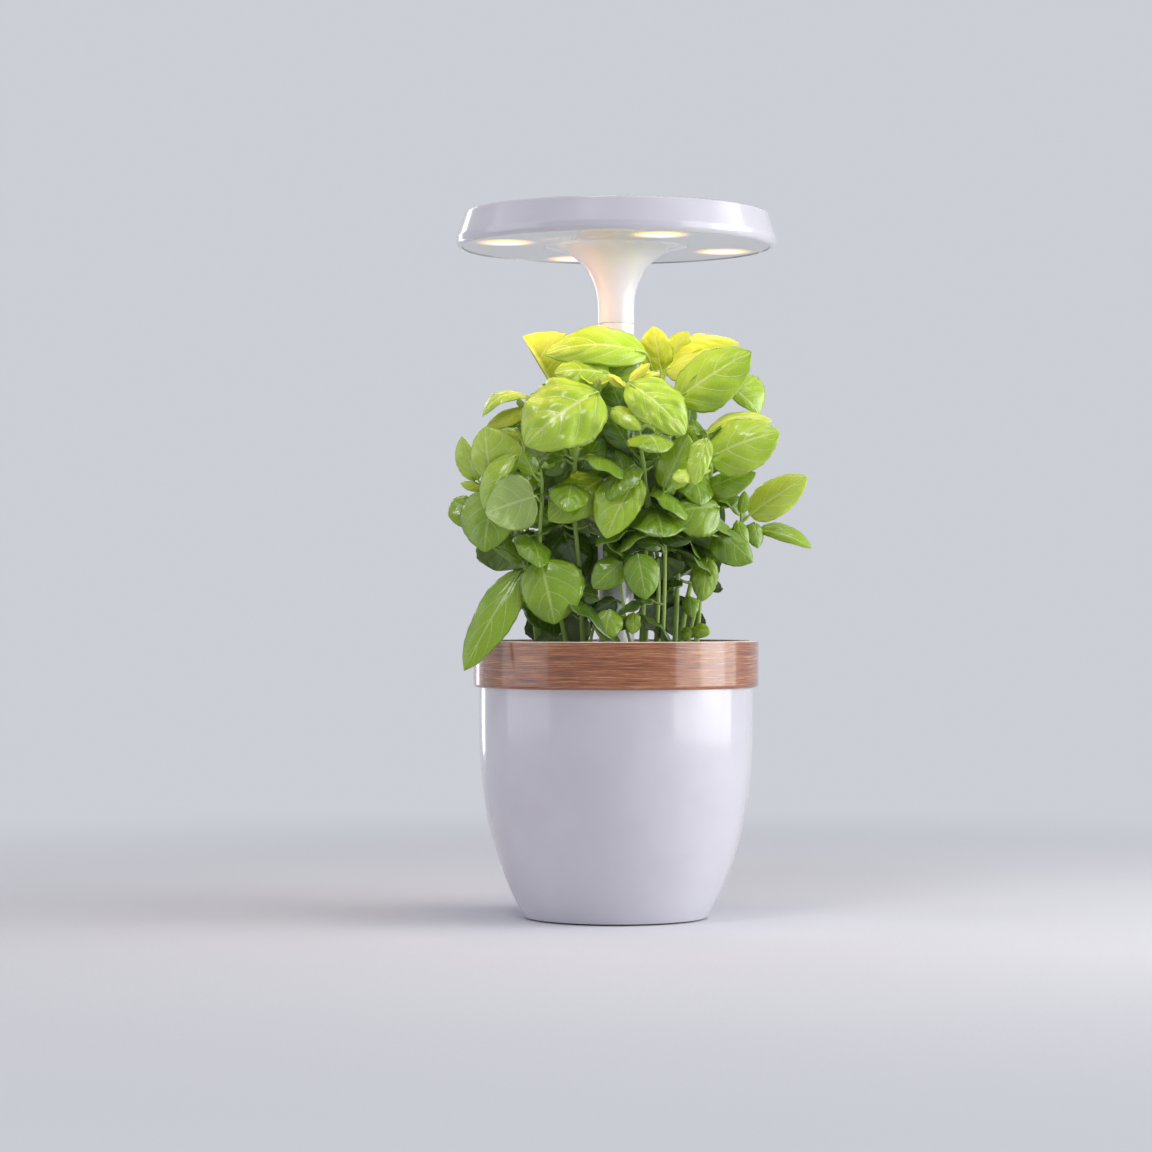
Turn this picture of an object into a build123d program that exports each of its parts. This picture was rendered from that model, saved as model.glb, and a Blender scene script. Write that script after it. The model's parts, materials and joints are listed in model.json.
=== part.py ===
from build123d import *
import os
from math import asin, cos, degrees, sin, sqrt

# Countertop hydroponic garden: a pot with a water tank, a deck with six planted cups, and a lamp on a
# telescopic column that stands in the middle. Millimetres, +Z up, origin at the middle of the foot on the
# surface it stands on, front towards -Y.

# ---- pot and tank ----
FOOT_GAP = 1.0            # the foot holds the pot this far off the surface
FOOT_INSET = 5.0          # foot's outer edge inside the pot's lower edge
FOOT_WIDTH = 6.0
FOOT_HEIGHT = 2.2
POT_BASE_R = 57.5
POT_RIM_R = 85.6
POT_SHOULDER_Z = 143.8    # here the side has become upright
POT_RIM_Z = 171.8
POT_WALL = 2.6
TANK_FLOOR_Z = 26.6       # upper face of the tank floor
TANK_FLOOR_T = 2.6
LEDGE_Z = 157.4           # the deck rests on this ledge
LEDGE_WIDTH = 3.4
LEDGE_T = 1.8

# ---- ring round the rim ----
RING_WALL = 3.25
RING_HEIGHT = 29.0
RING_LIP_T = 0.9
RING_LIP_WIDTH = 2.4
RING_GAP = 0.15
RING_LOWER_ROUND = 2.0
RING_UPPER_ROUND = 0.7

# ---- base, inlet and electronics ----
COVER_T = 2.4
COVER_GAP = 0.3
SCREW_INSET = 6.5         # base screws inside the foot's inner edge
SCREW_SHANK_R = 1.4
SCREW_HEAD_R = 2.8
SCREW_HEAD_T = 1.6
SCREW_LENGTH = 9.0
BOSS_R = 4.0
INLET_Z = 12.5
INLET_POCKET_R = 8.0
INLET_INSET = 0.3         # inlet pocket's flat face inside the pot's lower edge
INLET_CUP_WALL = 1.6
WELD_GAP = 0.05           # what is welded or bonded in lies this close
JACK_FLANGE_R = 5.8
JACK_BARREL_R = 4.0
JACK_BORE_R = 2.75
JACK_PIN_R = 1.0
BOARD_SIZE = (40.0, 24.0, 1.6)
BOARD_Y = -29.0
BOARD_Z = 10.0
LEAD_R = 1.5

# ---- centre tower and column ----
COLUMN_R = 11.4
COLUMN_WALL = 1.4
COLUMN_SEAT_Z = 30.0
SEAM_Z = 370.5            # top of the column, where the lamp neck meets it
TOWER_WALL = 2.5
TOWER_TOP_Z = 148.0
TOWER_GUIDE = 8.0         # length of the close bore at the tower's mouth
RUN_FIT = 0.05            # radial clearance of what slides or turns
TOWER_EASE = 0.7          # wider bore below the guide
TOWER_SPIGOT_WALL = 1.3
PLUG_LENGTH = 13.8
SPIGOT_R = 4.0
SPIGOT_LENGTH = 17.0
SOCKET_R = 13.5
SOCKET_BOTTOM_Z = 9.0
SOCKET_FLANGE_R = 17.0
SOCKET_FLANGE_T = 3.0
GUIDE_BUSH_LENGTH = 25.5

# ---- deck, cups and plants' sponges ----
DECK_T = 2.4
DECK_GAP = 0.6
SEAT_GAP = 0.2            # what lifts out lies this close to its seat
DECK_LIP_T = 1.8
DECK_LIP_H = 2.6
HUB_GAP = 0.6
HUB_WALL = 1.8
HUB_SKIRT = 12.0
HUB_RISE = 4.0
CUP_COUNT = 6
CUP_PCR = 44.0
CUP_TOP_R = 14.8
CUP_BOTTOM_R = 11.0
CUP_FLANGE_R = 17.0
CUP_FLANGE_T = 1.4
CUP_DEPTH = 44.0
CUP_WALL = 1.3
CUP_HOLE_GAP = 0.4
CUP_SEAT_H = 1.2
CUP_SLOTS = 6
CUP_SLOT = (4.0, 24.0)
SPONGE_GAP = 0.4
SPONGE_TOP_DROP = 3.6     # sponge top below the cup's flange
SPONGE_LENGTH = 36.0
RIB_T = 1.8
RIB_H = 6.0
FILLER_PCR = 64.0
FILLER_R = 11.0
FILLER_WALL = 1.8
FILLER_DROP = 8.0
FILLER_RISE = 1.6

# ---- float ----
FLOAT_PCR = 57.0
FLOAT_ANGLE = -30.0
FLOAT_R = 9.0
FLOAT_H = 12.0
FLOAT_REST_Z = 30.0
ROD_R = 1.5
GUIDE_R = 4.0
GUIDE_RISE = 2.0
GUIDE_DROP = 10.0
TIP_R = 3.2
TIP_H = 6.0

# ---- telescopic tube ----
TUBE_R = 9.3
TUBE_WALL = 1.3
TUBE_BOTTOM_Z = 205.0
SLIDER_LENGTH = 19.0
COIL_R = 8.6
COIL_GAP = 2.0
LEAD_JOINT_DROP = 25.0    # the head's lead meets the tube's this far below the tube's top

# ---- lamp ----
LAMP_R = 100.0
LAMP_TAPER = 5.0          # the top is this much smaller in radius
LAMP_HEIGHT = 20.8        # under face to top
LAMP_SIDE_RISE = 5.3      # the side slopes in above this height over the under face
LIP_DROP = 0.5
LAMP_WALL = 2.2
LIP_WIDTH = 4.0
LIP_ROUND = 3.4
TOP_ROUND = 1.5
STEP_WIDTH = 2.4
STEP_T = 1.6
NECK_HEIGHT = 48.2        # seam to under face
FLARE_SHARE = 0.45        # the trumpet's mouth against the lamp's radius
FLARE_RISE = 10.5         # the neck is straight this far above the seam
SEAM_GAP = 0.3
NECK_WALL = 1.9
BEARING_RISE = 27.5
FLANGE_WIDTH = 5.0
FLANGE_DEPTH = 7.0
UNDER_COVER_T = 2.1
PLATE_T = 2.0
PLATE_MARGIN = 10.0
PLATE_HOLE_R = 5.0
WASHER_T = 0.8
THRUST_GAP = 0.1
CLIP_R = 12.0
CLIP_T = 1.5
CLIP_DEPTH = 0.55
LENS_COUNT = 4
LENS_INSET = 27.0         # lens centres inside the lamp's radius
LENS_ANGLE = 21.3
LENS_R = 14.0
LENS_GAP = 0.2
LENS_FLANGE = 1.6
LENS_FLANGE_T = 1.4
LENS_DROP = 0.2
LENS_DOME = 0.6
LENS_SEAT_GAP = 0.05
LED_GAP = 0.35            # emitter above the lens
LED_BOARD_GAP = 4.0       # shell screws to the board's inner edge
LED_BOARD_REACH = 13.0
LED_BOARD_T = 1.6
EMITTER_SIZE = 12.0
EMITTER_T = 1.0
FINE_SCREW_R = 1.2
FINE_HEAD_R = 2.2
FINE_HEAD_T = 1.4
FINE_SCREW_GAP = 0.05
NECK_SCREW_INSET = 0.5
SHELL_SCREW_INSET = 6.0
SHELL_BOSS_R = 3.4
CONTROL_R = 16.0
CONTROL_DROP = 6.3        # board below the ceiling
CONTROL_T = 1.4
STUD_R = 2.0
STUD_PCR = 12.5
SWITCH_SIZE = 6.0
SWITCH_H = 1.2
PLUNGER_R = 1.6
PLUNGER_H = 0.7
BUTTON_R = 8.4
BUTTON_GAP = 0.2
BUTTON_PROUD = 0.6
BUTTON_FLANGE = 1.6
BUTTON_FLANGE_T = 1.5
BUTTON_UNDER_GAP = 0.3

# ---- derived levels ----
DECK_Z = LEDGE_Z + SEAT_GAP
DECK_TOP_Z = DECK_Z + DECK_T
CUP_SEAT_Z = DECK_TOP_Z + CUP_SEAT_H
CUP_RIM_Z = CUP_SEAT_Z + CUP_FLANGE_T
CUP_FLOOR_Z = CUP_RIM_Z - CUP_DEPTH
SPONGE_TOP_Z = CUP_RIM_Z - SPONGE_TOP_DROP
TANK_R = POT_RIM_R - POT_WALL
RING_R = POT_RIM_R + RING_GAP + RING_WALL
FOOT_R = POT_BASE_R - FOOT_INSET
SCREW_PCR = FOOT_R - FOOT_WIDTH - SCREW_INSET
INLET_FACE_Y = POT_BASE_R - INLET_INSET
TANK_FLOOR_UNDER_Z = TANK_FLOOR_Z - TANK_FLOOR_T
COVER_TOP_Z = FOOT_GAP + COVER_T
TOWER_BORE_R = COLUMN_R + TOWER_EASE
TOWER_R = TOWER_BORE_R + TOWER_WALL
TOWER_SPIGOT_R = TOWER_BORE_R + TOWER_SPIGOT_WALL
COLUMN_BORE_R = COLUMN_R - COLUMN_WALL
COLUMN_FOOT_Z = COLUMN_SEAT_Z + SEAT_GAP
NECK_BOTTOM_Z = SEAM_Z + SEAM_GAP
FLARE_START_Z = SEAM_Z + FLARE_RISE
BEARING_TOP_Z = SEAM_Z + BEARING_RISE
LAMP_FACE_Z = SEAM_Z + NECK_HEIGHT
LAMP_LIP_Z = LAMP_FACE_Z - LIP_DROP
LAMP_SIDE_Z = LAMP_FACE_Z + LAMP_SIDE_RISE
LAMP_TOP_Z = LAMP_FACE_Z + LAMP_HEIGHT
CEILING_Z = LAMP_TOP_Z - LAMP_WALL
CONTROL_Z = CEILING_Z - CONTROL_DROP
COVER_FACE_TOP_Z = LAMP_FACE_Z + UNDER_COVER_T
STEP_Z = COVER_FACE_TOP_Z + 0.1
LENS_SEAT_Z = COVER_FACE_TOP_Z + LENS_SEAT_GAP
PLATE_Z = LENS_SEAT_Z + LENS_FLANGE_T + LENS_DOME + LED_GAP + EMITTER_T + LED_BOARD_T
TUBE_TOP_Z = PLATE_Z - WASHER_T - 2 * THRUST_GAP
LAMP_TOP_R = LAMP_R - LAMP_TAPER
PLATE_R = LAMP_R - PLATE_MARGIN
LENS_PCR = LAMP_R - LENS_INSET
FLARE_R = FLARE_SHARE * LAMP_R
FLANGE_R = FLARE_R + FLANGE_WIDTH
FLANGE_INNER_R = FLARE_R - FLANGE_DEPTH
NECK_SCREW_PCR = FLARE_R + NECK_SCREW_INSET
SHELL_SCREW_PCR = FLANGE_R + SHELL_SCREW_INSET


def save(shape, name):
    """Writes one node to its own file."""
    shape.label = name
    export_step(shape, f"parts/{name}.step")


def turned(*outline):
    """A body turned about the vertical axis from a closed outline of (radius, height) points."""
    return revolve(Plane.XZ * make_face(Polyline(*outline, close=True)), Axis.Z)


def turned_edges(edges):
    """A body turned about the vertical axis from the edges of a closed outline."""
    return revolve(Plane.XZ * make_face(edges), Axis.Z)


def pipe(outer_r, inner_r, low, high):
    """A ring or tube between two heights."""
    return turned((inner_r, low), (outer_r, low), (outer_r, high), (inner_r, high))


def rod(radius, low, high):
    """A plain cylinder between two heights."""
    return Pos(0, 0, low) * Cylinder(radius, high - low, align=(Align.CENTER, Align.CENTER, Align.MIN))


def block(size_x, size_y, low, high):
    """A plain box between two heights."""
    return Pos(0, 0, low) * Box(size_x, size_y, high - low, align=(Align.CENTER, Align.CENTER, Align.MIN))


def crown(radius, low, rise):
    """The outline of a shallow dome from its rim to the axis, as an arc whose centre lies on the axis."""
    curve_r = (radius ** 2 + rise ** 2) / (2 * rise)
    half = asin(radius / curve_r) / 2
    centre_z = low + rise - curve_r
    middle = (curve_r * sin(half), centre_z + curve_r * cos(half))
    return ThreePointArc((radius, low), middle, (0, low + rise))


def around(count, radius, first=0.0):
    """Places spaced evenly on a circle, each turned to face outwards."""
    return [Rot(0, 0, first + 360 * n / count) * Pos(radius, 0, 0) for n in range(count)]


# ---------------------------------------------------------------- pot
def pot_side(inset):
    """The side's outline: a cubic that leaves the base at a slope and becomes upright at the shoulder."""
    rise = (POT_SHOULDER_Z - FOOT_GAP) / 3
    base_inset = inset * 1.15
    side_r = POT_RIM_R - inset
    return Bezier(
        (POT_BASE_R - base_inset, FOOT_GAP),
        (side_r, FOOT_GAP + rise),
        (side_r, FOOT_GAP + 2 * rise),
        (side_r, POT_SHOULDER_Z),
    )


def pot_volume(inset, top):
    """Everything inside the pot's side, up to a height."""
    side = pot_side(inset)
    bottom, shoulder = side @ 0, side @ 1
    rest = Polyline(shoulder, (shoulder.X, top), (0, top), (0, bottom.Y), bottom)
    return turned_edges(side + rest)


def side_radius(inset, z):
    """The side's radius at a height below the shoulder."""
    share = (z - FOOT_GAP) / (POT_SHOULDER_Z - FOOT_GAP)
    upper, lower = POT_RIM_R - inset, POT_BASE_R - inset * 1.15
    return upper - (upper - lower) * (1 - share) ** 3


def inlet_axis(radius, start, end):
    """A cylinder along the inlet's axis, which points out of the back."""
    return Pos(0, start, INLET_Z) * Rot(-90, 0, 0) * Cylinder(
        radius, end - start, align=(Align.CENTER, Align.CENTER, Align.MIN)
    )


def make_outer_pot():
    """The pot's side, open below, with a ledge for the deck and a round hole for the inlet's cup."""
    pot = pot_volume(0, POT_RIM_Z) - pot_volume(POT_WALL, POT_RIM_Z + 1)
    pot += turned(
        (TANK_R + POT_WALL / 2, LEDGE_Z),
        (TANK_R - LEDGE_WIDTH, LEDGE_Z),
        (TANK_R - LEDGE_WIDTH, LEDGE_Z - LEDGE_T),
        (TANK_R + POT_WALL / 2, LEDGE_Z - LEDGE_T - LEDGE_WIDTH - POT_WALL / 2),
    )
    hole_r = INLET_POCKET_R + INLET_CUP_WALL + WELD_GAP
    return pot - inlet_axis(hole_r, INLET_FACE_Y - 2 * POT_WALL, POT_RIM_R)


def make_inlet_cup():
    """The cup bonded into the pot's side, flush with it, that sinks the inlet below the surface."""
    cup = inlet_axis(INLET_POCKET_R + INLET_CUP_WALL, INLET_FACE_Y - POT_WALL, POT_RIM_R)
    cup = cup & pot_volume(0, POT_RIM_Z)
    cup -= inlet_axis(INLET_POCKET_R, INLET_FACE_Y, POT_RIM_R)
    return cup - inlet_axis(JACK_BARREL_R + RUN_FIT, INLET_FACE_Y - 2 * POT_WALL, INLET_FACE_Y + 1)


def make_tank_floor():
    """A disc wedged and welded in the pot's taper, with a hole for the tower and a boss over each base screw."""
    low, high = TANK_FLOOR_UNDER_Z, TANK_FLOOR_Z
    floor = turned(
        (0, low), (side_radius(POT_WALL, low) - WELD_GAP, low), (side_radius(POT_WALL, high) - WELD_GAP, high), (0, high)
    )
    for place in around(4, SCREW_PCR, 45):
        floor += place * rod(BOSS_R, COVER_TOP_Z, TANK_FLOOR_Z - TANK_FLOOR_T / 2)
    for place in around(4, SCREW_PCR, 45):
        hole_top = FOOT_GAP + SCREW_LENGTH + SCREW_HEAD_T + 1
        floor -= place * rod(SCREW_SHANK_R + FINE_SCREW_GAP, FOOT_GAP, hole_top)
    return floor - rod(TOWER_SPIGOT_R + RUN_FIT, TANK_FLOOR_UNDER_Z - 1, TANK_FLOOR_Z + 1)


def make_centre_tower():
    """The dry tube that carries the column through the water, close round it at its mouth."""
    guide_r = COLUMN_R + RUN_FIT
    return turned(
        (TOWER_BORE_R, TANK_FLOOR_UNDER_Z), (TOWER_SPIGOT_R, TANK_FLOOR_UNDER_Z),
        (TOWER_SPIGOT_R, TANK_FLOOR_Z), (TOWER_R, TANK_FLOOR_Z),
        (TOWER_R, TOWER_TOP_Z), (guide_r, TOWER_TOP_Z),
        (guide_r, TOWER_TOP_Z - TOWER_GUIDE), (TOWER_BORE_R, TOWER_TOP_Z - TOWER_GUIDE),
    )


def make_wood_ring():
    top = POT_RIM_Z + 0.1 + RING_LIP_T
    bottom = top - RING_HEIGHT
    inner = POT_RIM_R + RING_GAP
    outline = make_face(Polyline(
        (inner, bottom), (RING_R, bottom), (RING_R, top),
        (inner - RING_LIP_WIDTH, top), (inner - RING_LIP_WIDTH, top - RING_LIP_T), (inner, top - RING_LIP_T),
        close=True,
    ))
    corners = outline.vertices()
    lower = corners.filter_by_position(Axis.X, RING_R - 0.01, RING_R + 0.01).sort_by(Axis.Y)
    outline = fillet(lower[0], RING_LOWER_ROUND)
    upper = outline.vertices().filter_by_position(Axis.X, RING_R - 0.01, RING_R + 0.01).sort_by(Axis.Y)[-1]
    outline = fillet(upper, RING_UPPER_ROUND)
    return revolve(Plane.XZ * outline, Axis.Z)


def make_base_cover():
    cover = rod(POT_BASE_R - POT_WALL * 1.15 - COVER_GAP, FOOT_GAP, COVER_TOP_Z)
    cover -= pipe(FOOT_R + 0.1, FOOT_R - FOOT_WIDTH - 0.1, FOOT_GAP - 1, FOOT_HEIGHT)
    for place in around(4, SCREW_PCR, 45):
        cover -= place * rod(SCREW_SHANK_R + FINE_SCREW_GAP, FOOT_GAP - 1, COVER_TOP_Z + 1)
        cover -= place * rod(SCREW_HEAD_R + 0.2, FOOT_GAP - 1, FOOT_GAP + SCREW_HEAD_T)
    return cover


def make_base_screws():
    screws = []
    for place in around(4, SCREW_PCR, 45):
        head = rod(SCREW_HEAD_R, FOOT_GAP + 0.1, FOOT_GAP + SCREW_HEAD_T)
        head -= Pos(0, 0, FOOT_GAP) * Box(0.9, 3.6, 1.2)
        head -= Pos(0, 0, FOOT_GAP) * Box(3.6, 0.9, 1.2)
        shank = rod(SCREW_SHANK_R, FOOT_GAP + SCREW_HEAD_T, FOOT_GAP + SCREW_HEAD_T + SCREW_LENGTH)
        screws.append(place * (head + shank))
    return Compound(children=screws)


def make_dc_jack():
    jack = inlet_axis(JACK_FLANGE_R, INLET_FACE_Y, INLET_FACE_Y + 1.4)
    jack += inlet_axis(JACK_BARREL_R, INLET_FACE_Y - 12, INLET_FACE_Y + 0.5)
    nut = inlet_axis(JACK_FLANGE_R, INLET_FACE_Y - POT_WALL - 3, INLET_FACE_Y - POT_WALL)
    jack += nut
    jack -= inlet_axis(JACK_BORE_R, INLET_FACE_Y - 8, INLET_FACE_Y + 2)
    jack += inlet_axis(JACK_PIN_R, INLET_FACE_Y - 8.5, INLET_FACE_Y + 0.4)
    return jack


def make_driver_board():
    """The board that turns the inlet's voltage into a steady current for the lamp, on four posts."""
    size_x, size_y, thickness = BOARD_SIZE
    top = BOARD_Z + thickness
    board = Pos(0, BOARD_Y, 0) * block(size_x, size_y, BOARD_Z, top)
    for x in (-1, 1):
        for y in (-1, 1):
            post = Pos(x * (size_x / 2 - 3), BOARD_Y + y * (size_y / 2 - 3), 0)
            board += post * rod(2, COVER_TOP_Z, BOARD_Z)
    board += Pos(-9, BOARD_Y + 1, 0) * block(12, 12, top, top + 7)
    board += Pos(9, BOARD_Y + 3, 0) * rod(4, top, top + 9)
    board += Pos(4, BOARD_Y - 7, 0) * block(8, 5, top, top + 2)
    board += Pos(-9, BOARD_Y + 9, 0) * block(8, 5, top, top + 4)
    board += Pos(14, BOARD_Y - 6, 0) * block(6, 8, top, top + 4)
    return board


def lead(points, bend):
    """A round lead along straight runs with equal bends."""
    path = FilletPolyline(*points, radius=bend)
    start = Plane(origin=path @ 0, z_dir=path % 0)
    return sweep(start * Circle(LEAD_R), path=path)


def make_jack_lead():
    tail_y = INLET_FACE_Y - 12
    board_top = BOARD_Z + BOARD_SIZE[2] + 4
    return lead([
        (0, tail_y, INLET_Z), (0, tail_y - 9, INLET_Z), (-26, 18, INLET_Z + 1), (-26, -6, INLET_Z + 6),
        (-9, BOARD_Y + 9, INLET_Z + 9), (-9, BOARD_Y + 9, board_top),
    ], 2.6)


def make_socket_lead():
    board_top = BOARD_Z + BOARD_SIZE[2] + 4
    run_z = SOCKET_BOTTOM_Z - 2.8
    return lead([
        (15.5, BOARD_Y - 6, board_top), (15.5, BOARD_Y - 6, board_top + 5), (18, BOARD_Y + 16, board_top - 1),
        (14, BOARD_Y + 17, run_z), (5, -4, run_z), (5, -4, SOCKET_BOTTOM_Z),
    ], 1.2)


def make_column_socket():
    """The receptacle under the tank floor: its neck closes the tower's bore and carries the column."""
    neck_r = TOWER_BORE_R - 0.1
    spigot_end = COLUMN_FOOT_Z - SPIGOT_LENGTH
    socket = turned(
        (0, SOCKET_BOTTOM_Z), (SOCKET_R, SOCKET_BOTTOM_Z),
        (SOCKET_R, TANK_FLOOR_UNDER_Z - SOCKET_FLANGE_T),
        (SOCKET_FLANGE_R, TANK_FLOOR_UNDER_Z - SOCKET_FLANGE_T),
        (SOCKET_FLANGE_R, TANK_FLOOR_UNDER_Z), (neck_r, TANK_FLOOR_UNDER_Z),
        (neck_r, COLUMN_SEAT_Z), (0, COLUMN_SEAT_Z),
    )
    return socket - rod(SPIGOT_R + RUN_FIT, spigot_end - 0.5, COLUMN_SEAT_Z + 1)


# ---------------------------------------------------------------- deck and cups
def float_place():
    return Rot(0, 0, FLOAT_ANGLE) * Pos(FLOAT_PCR, 0, 0)


def make_grow_deck():
    outer = TANK_R - DECK_GAP
    bore = COLUMN_R + HUB_GAP + RUN_FIT
    skirt_in = TOWER_R + HUB_GAP
    skirt_out = skirt_in + HUB_WALL
    hub_out = bore + HUB_WALL
    deck = turned(
        (bore, DECK_Z), (skirt_in, DECK_Z), (skirt_in, DECK_Z - HUB_SKIRT), (skirt_out, DECK_Z - HUB_SKIRT),
        (skirt_out, DECK_Z), (outer, DECK_Z), (outer, DECK_TOP_Z + DECK_LIP_H),
        (outer - DECK_LIP_T, DECK_TOP_Z + DECK_LIP_H), (outer - DECK_LIP_T, DECK_TOP_Z),
        (hub_out, DECK_TOP_Z), (hub_out, DECK_TOP_Z + HUB_RISE), (bore, DECK_TOP_Z + HUB_RISE),
    )
    rib_end = TANK_R - LEDGE_WIDTH - DECK_GAP
    rib = Pos((skirt_out + rib_end) / 2, 0, 0) * block(rib_end - skirt_out + 1, RIB_T, DECK_Z - RIB_H, DECK_Z)
    for n in range(CUP_COUNT):
        deck += Rot(0, 0, 360 * (n + 0.5) / CUP_COUNT) * rib
    hole_r = CUP_TOP_R + CUP_HOLE_GAP
    for place in around(CUP_COUNT, CUP_PCR):
        deck += place * rod(CUP_FLANGE_R, DECK_Z, CUP_SEAT_Z)
    filler = Pos(0, -FILLER_PCR, 0)
    deck += filler * rod(FILLER_R + FILLER_WALL, DECK_Z - FILLER_DROP, DECK_TOP_Z + FILLER_RISE)
    deck += float_place() * rod(GUIDE_R, DECK_Z - GUIDE_DROP, DECK_TOP_Z + GUIDE_RISE)
    for place in around(CUP_COUNT, CUP_PCR):
        deck -= place * rod(hole_r, DECK_Z - RIB_H - 1, CUP_SEAT_Z + 1)
    deck -= filler * rod(FILLER_R, DECK_Z - FILLER_DROP - 1, DECK_TOP_Z + FILLER_RISE + 1)
    deck -= float_place() * rod(ROD_R + RUN_FIT, DECK_Z - GUIDE_DROP - 1, DECK_TOP_Z + GUIDE_RISE + 1)
    return deck


def cup_radius(z):
    """The cup's outer radius at a height: it narrows evenly towards its floor."""
    share = (CUP_SEAT_Z - z) / (CUP_SEAT_Z - CUP_FLOOR_Z)
    return CUP_TOP_R - (CUP_TOP_R - CUP_BOTTOM_R) * share


def make_net_cup():
    floor_top = CUP_FLOOR_Z + CUP_WALL
    cup = turned(
        (0, CUP_FLOOR_Z), (CUP_BOTTOM_R, CUP_FLOOR_Z), (CUP_TOP_R, CUP_SEAT_Z), (CUP_FLANGE_R, CUP_SEAT_Z),
        (CUP_FLANGE_R, CUP_RIM_Z), (CUP_TOP_R - CUP_WALL, CUP_RIM_Z),
        (cup_radius(floor_top) - CUP_WALL, floor_top), (0, floor_top),
    )
    slot_width, slot_height = CUP_SLOT
    slot_low = floor_top + 2
    slot = Pos(CUP_TOP_R, 0, 0) * block(2 * CUP_TOP_R, slot_width, slot_low, slot_low + slot_height)
    slot -= rod(CUP_BOTTOM_R - CUP_WALL - 3, slot_low - 1, slot_low + slot_height + 1)
    for n in range(CUP_SLOTS):
        cup -= Rot(0, 0, 360 * n / CUP_SLOTS) * slot
    for angle in (0, 90):
        cup -= Rot(0, 0, angle) * block(2 * (CUP_BOTTOM_R - 3), 2.5, CUP_FLOOR_Z - 1, floor_top + 1)
    return cup


def make_grow_sponge():
    low = SPONGE_TOP_Z - SPONGE_LENGTH
    inset = CUP_WALL + SPONGE_GAP
    return turned(
        (0, low), (cup_radius(low) - inset, low), (cup_radius(SPONGE_TOP_Z) - inset, SPONGE_TOP_Z),
        (0, SPONGE_TOP_Z),
    )


# ---------------------------------------------------------------- float
def make_float_body():
    body = rod(FLOAT_R, FLOAT_REST_Z, FLOAT_REST_Z + FLOAT_H)
    body = fillet(body.edges().filter_by(GeomType.CIRCLE), 2.5)
    return float_place() * body


def make_float_rod():
    return float_place() * rod(ROD_R, FLOAT_REST_Z + FLOAT_H, DECK_TOP_Z + GUIDE_RISE + SEAT_GAP + 0.1)


def make_float_tip():
    low = DECK_TOP_Z + GUIDE_RISE + SEAT_GAP + 0.1
    tip = rod(TIP_R, low, low + TIP_H)
    tip = fillet(tip.edges().filter_by(GeomType.CIRCLE).sort_by(Axis.Z)[-1], 2.4)
    return float_place() * tip


# ---------------------------------------------------------------- column and telescopic tube
def make_outer_tube():
    return pipe(COLUMN_R, COLUMN_BORE_R, COLUMN_FOOT_Z, SEAM_Z)


def make_column_plug():
    head_r = COLUMN_BORE_R - 0.03
    spigot = COLUMN_FOOT_Z - SPIGOT_LENGTH
    return turned(
        (0, spigot), (SPIGOT_R - 1, spigot), (SPIGOT_R, spigot + 1), (SPIGOT_R, COLUMN_FOOT_Z),
        (head_r, COLUMN_FOOT_Z), (head_r, COLUMN_FOOT_Z + PLUG_LENGTH), (0, COLUMN_FOOT_Z + PLUG_LENGTH),
    )


def make_guide_bush():
    return pipe(COLUMN_BORE_R - 0.03, TUBE_R + RUN_FIT, SEAM_Z - GUIDE_BUSH_LENGTH, SEAM_Z - 0.2)


def make_inner_tube():
    tube = pipe(TUBE_R, TUBE_R - TUBE_WALL, TUBE_BOTTOM_Z, TUBE_TOP_Z)
    low = BEARING_TOP_Z + SEAM_GAP - 0.05
    return tube - pipe(TUBE_R + 1, TUBE_R - CLIP_DEPTH, low, low + CLIP_T + 0.1)


def make_slider_bush():
    return pipe(COLUMN_BORE_R - RUN_FIT, TUBE_R + 0.02, TUBE_BOTTOM_Z, TUBE_BOTTOM_Z + SLIDER_LENGTH)


def make_retaining_clip():
    """An open ring in the tube's groove that keeps the neck from being pulled off."""
    low = BEARING_TOP_Z + SEAM_GAP
    clip = pipe(CLIP_R, TUBE_R - CLIP_DEPTH + 0.05, low, low + CLIP_T)
    return clip - Pos(CLIP_R, 0, 0) * block(2 * CLIP_R, 5, low - 1, low + CLIP_T + 1)


def make_swivel_washer():
    low = TUBE_TOP_Z + THRUST_GAP
    return pipe(TUBE_R, PLATE_HOLE_R + 0.5, low, low + WASHER_T)


def make_coiled_lead():
    return rod(COIL_R, COLUMN_FOOT_Z + PLUG_LENGTH, TUBE_BOTTOM_Z - COIL_GAP)


def make_tube_lead():
    return rod(LEAD_R, TUBE_BOTTOM_Z - COIL_GAP, TUBE_TOP_Z - LEAD_JOINT_DROP)


# ---------------------------------------------------------------- lamp head
def flare_arc(inset, low, high):
    """Part of the trumpet's outline: a quarter ellipse that ends level with the lamp's under face."""
    wide = FLARE_R - COLUMN_R + inset
    tall = LAMP_FACE_Z - FLARE_START_Z + inset * 1.2
    start = 180 - degrees(asin((low - FLARE_START_Z) / tall))
    end = 180 - degrees(asin(min((high - FLARE_START_Z) / tall, 1.0)))
    return EllipticalCenterArc((FLARE_R, FLARE_START_Z), wide, tall, end, arc_size=start - end)


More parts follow.
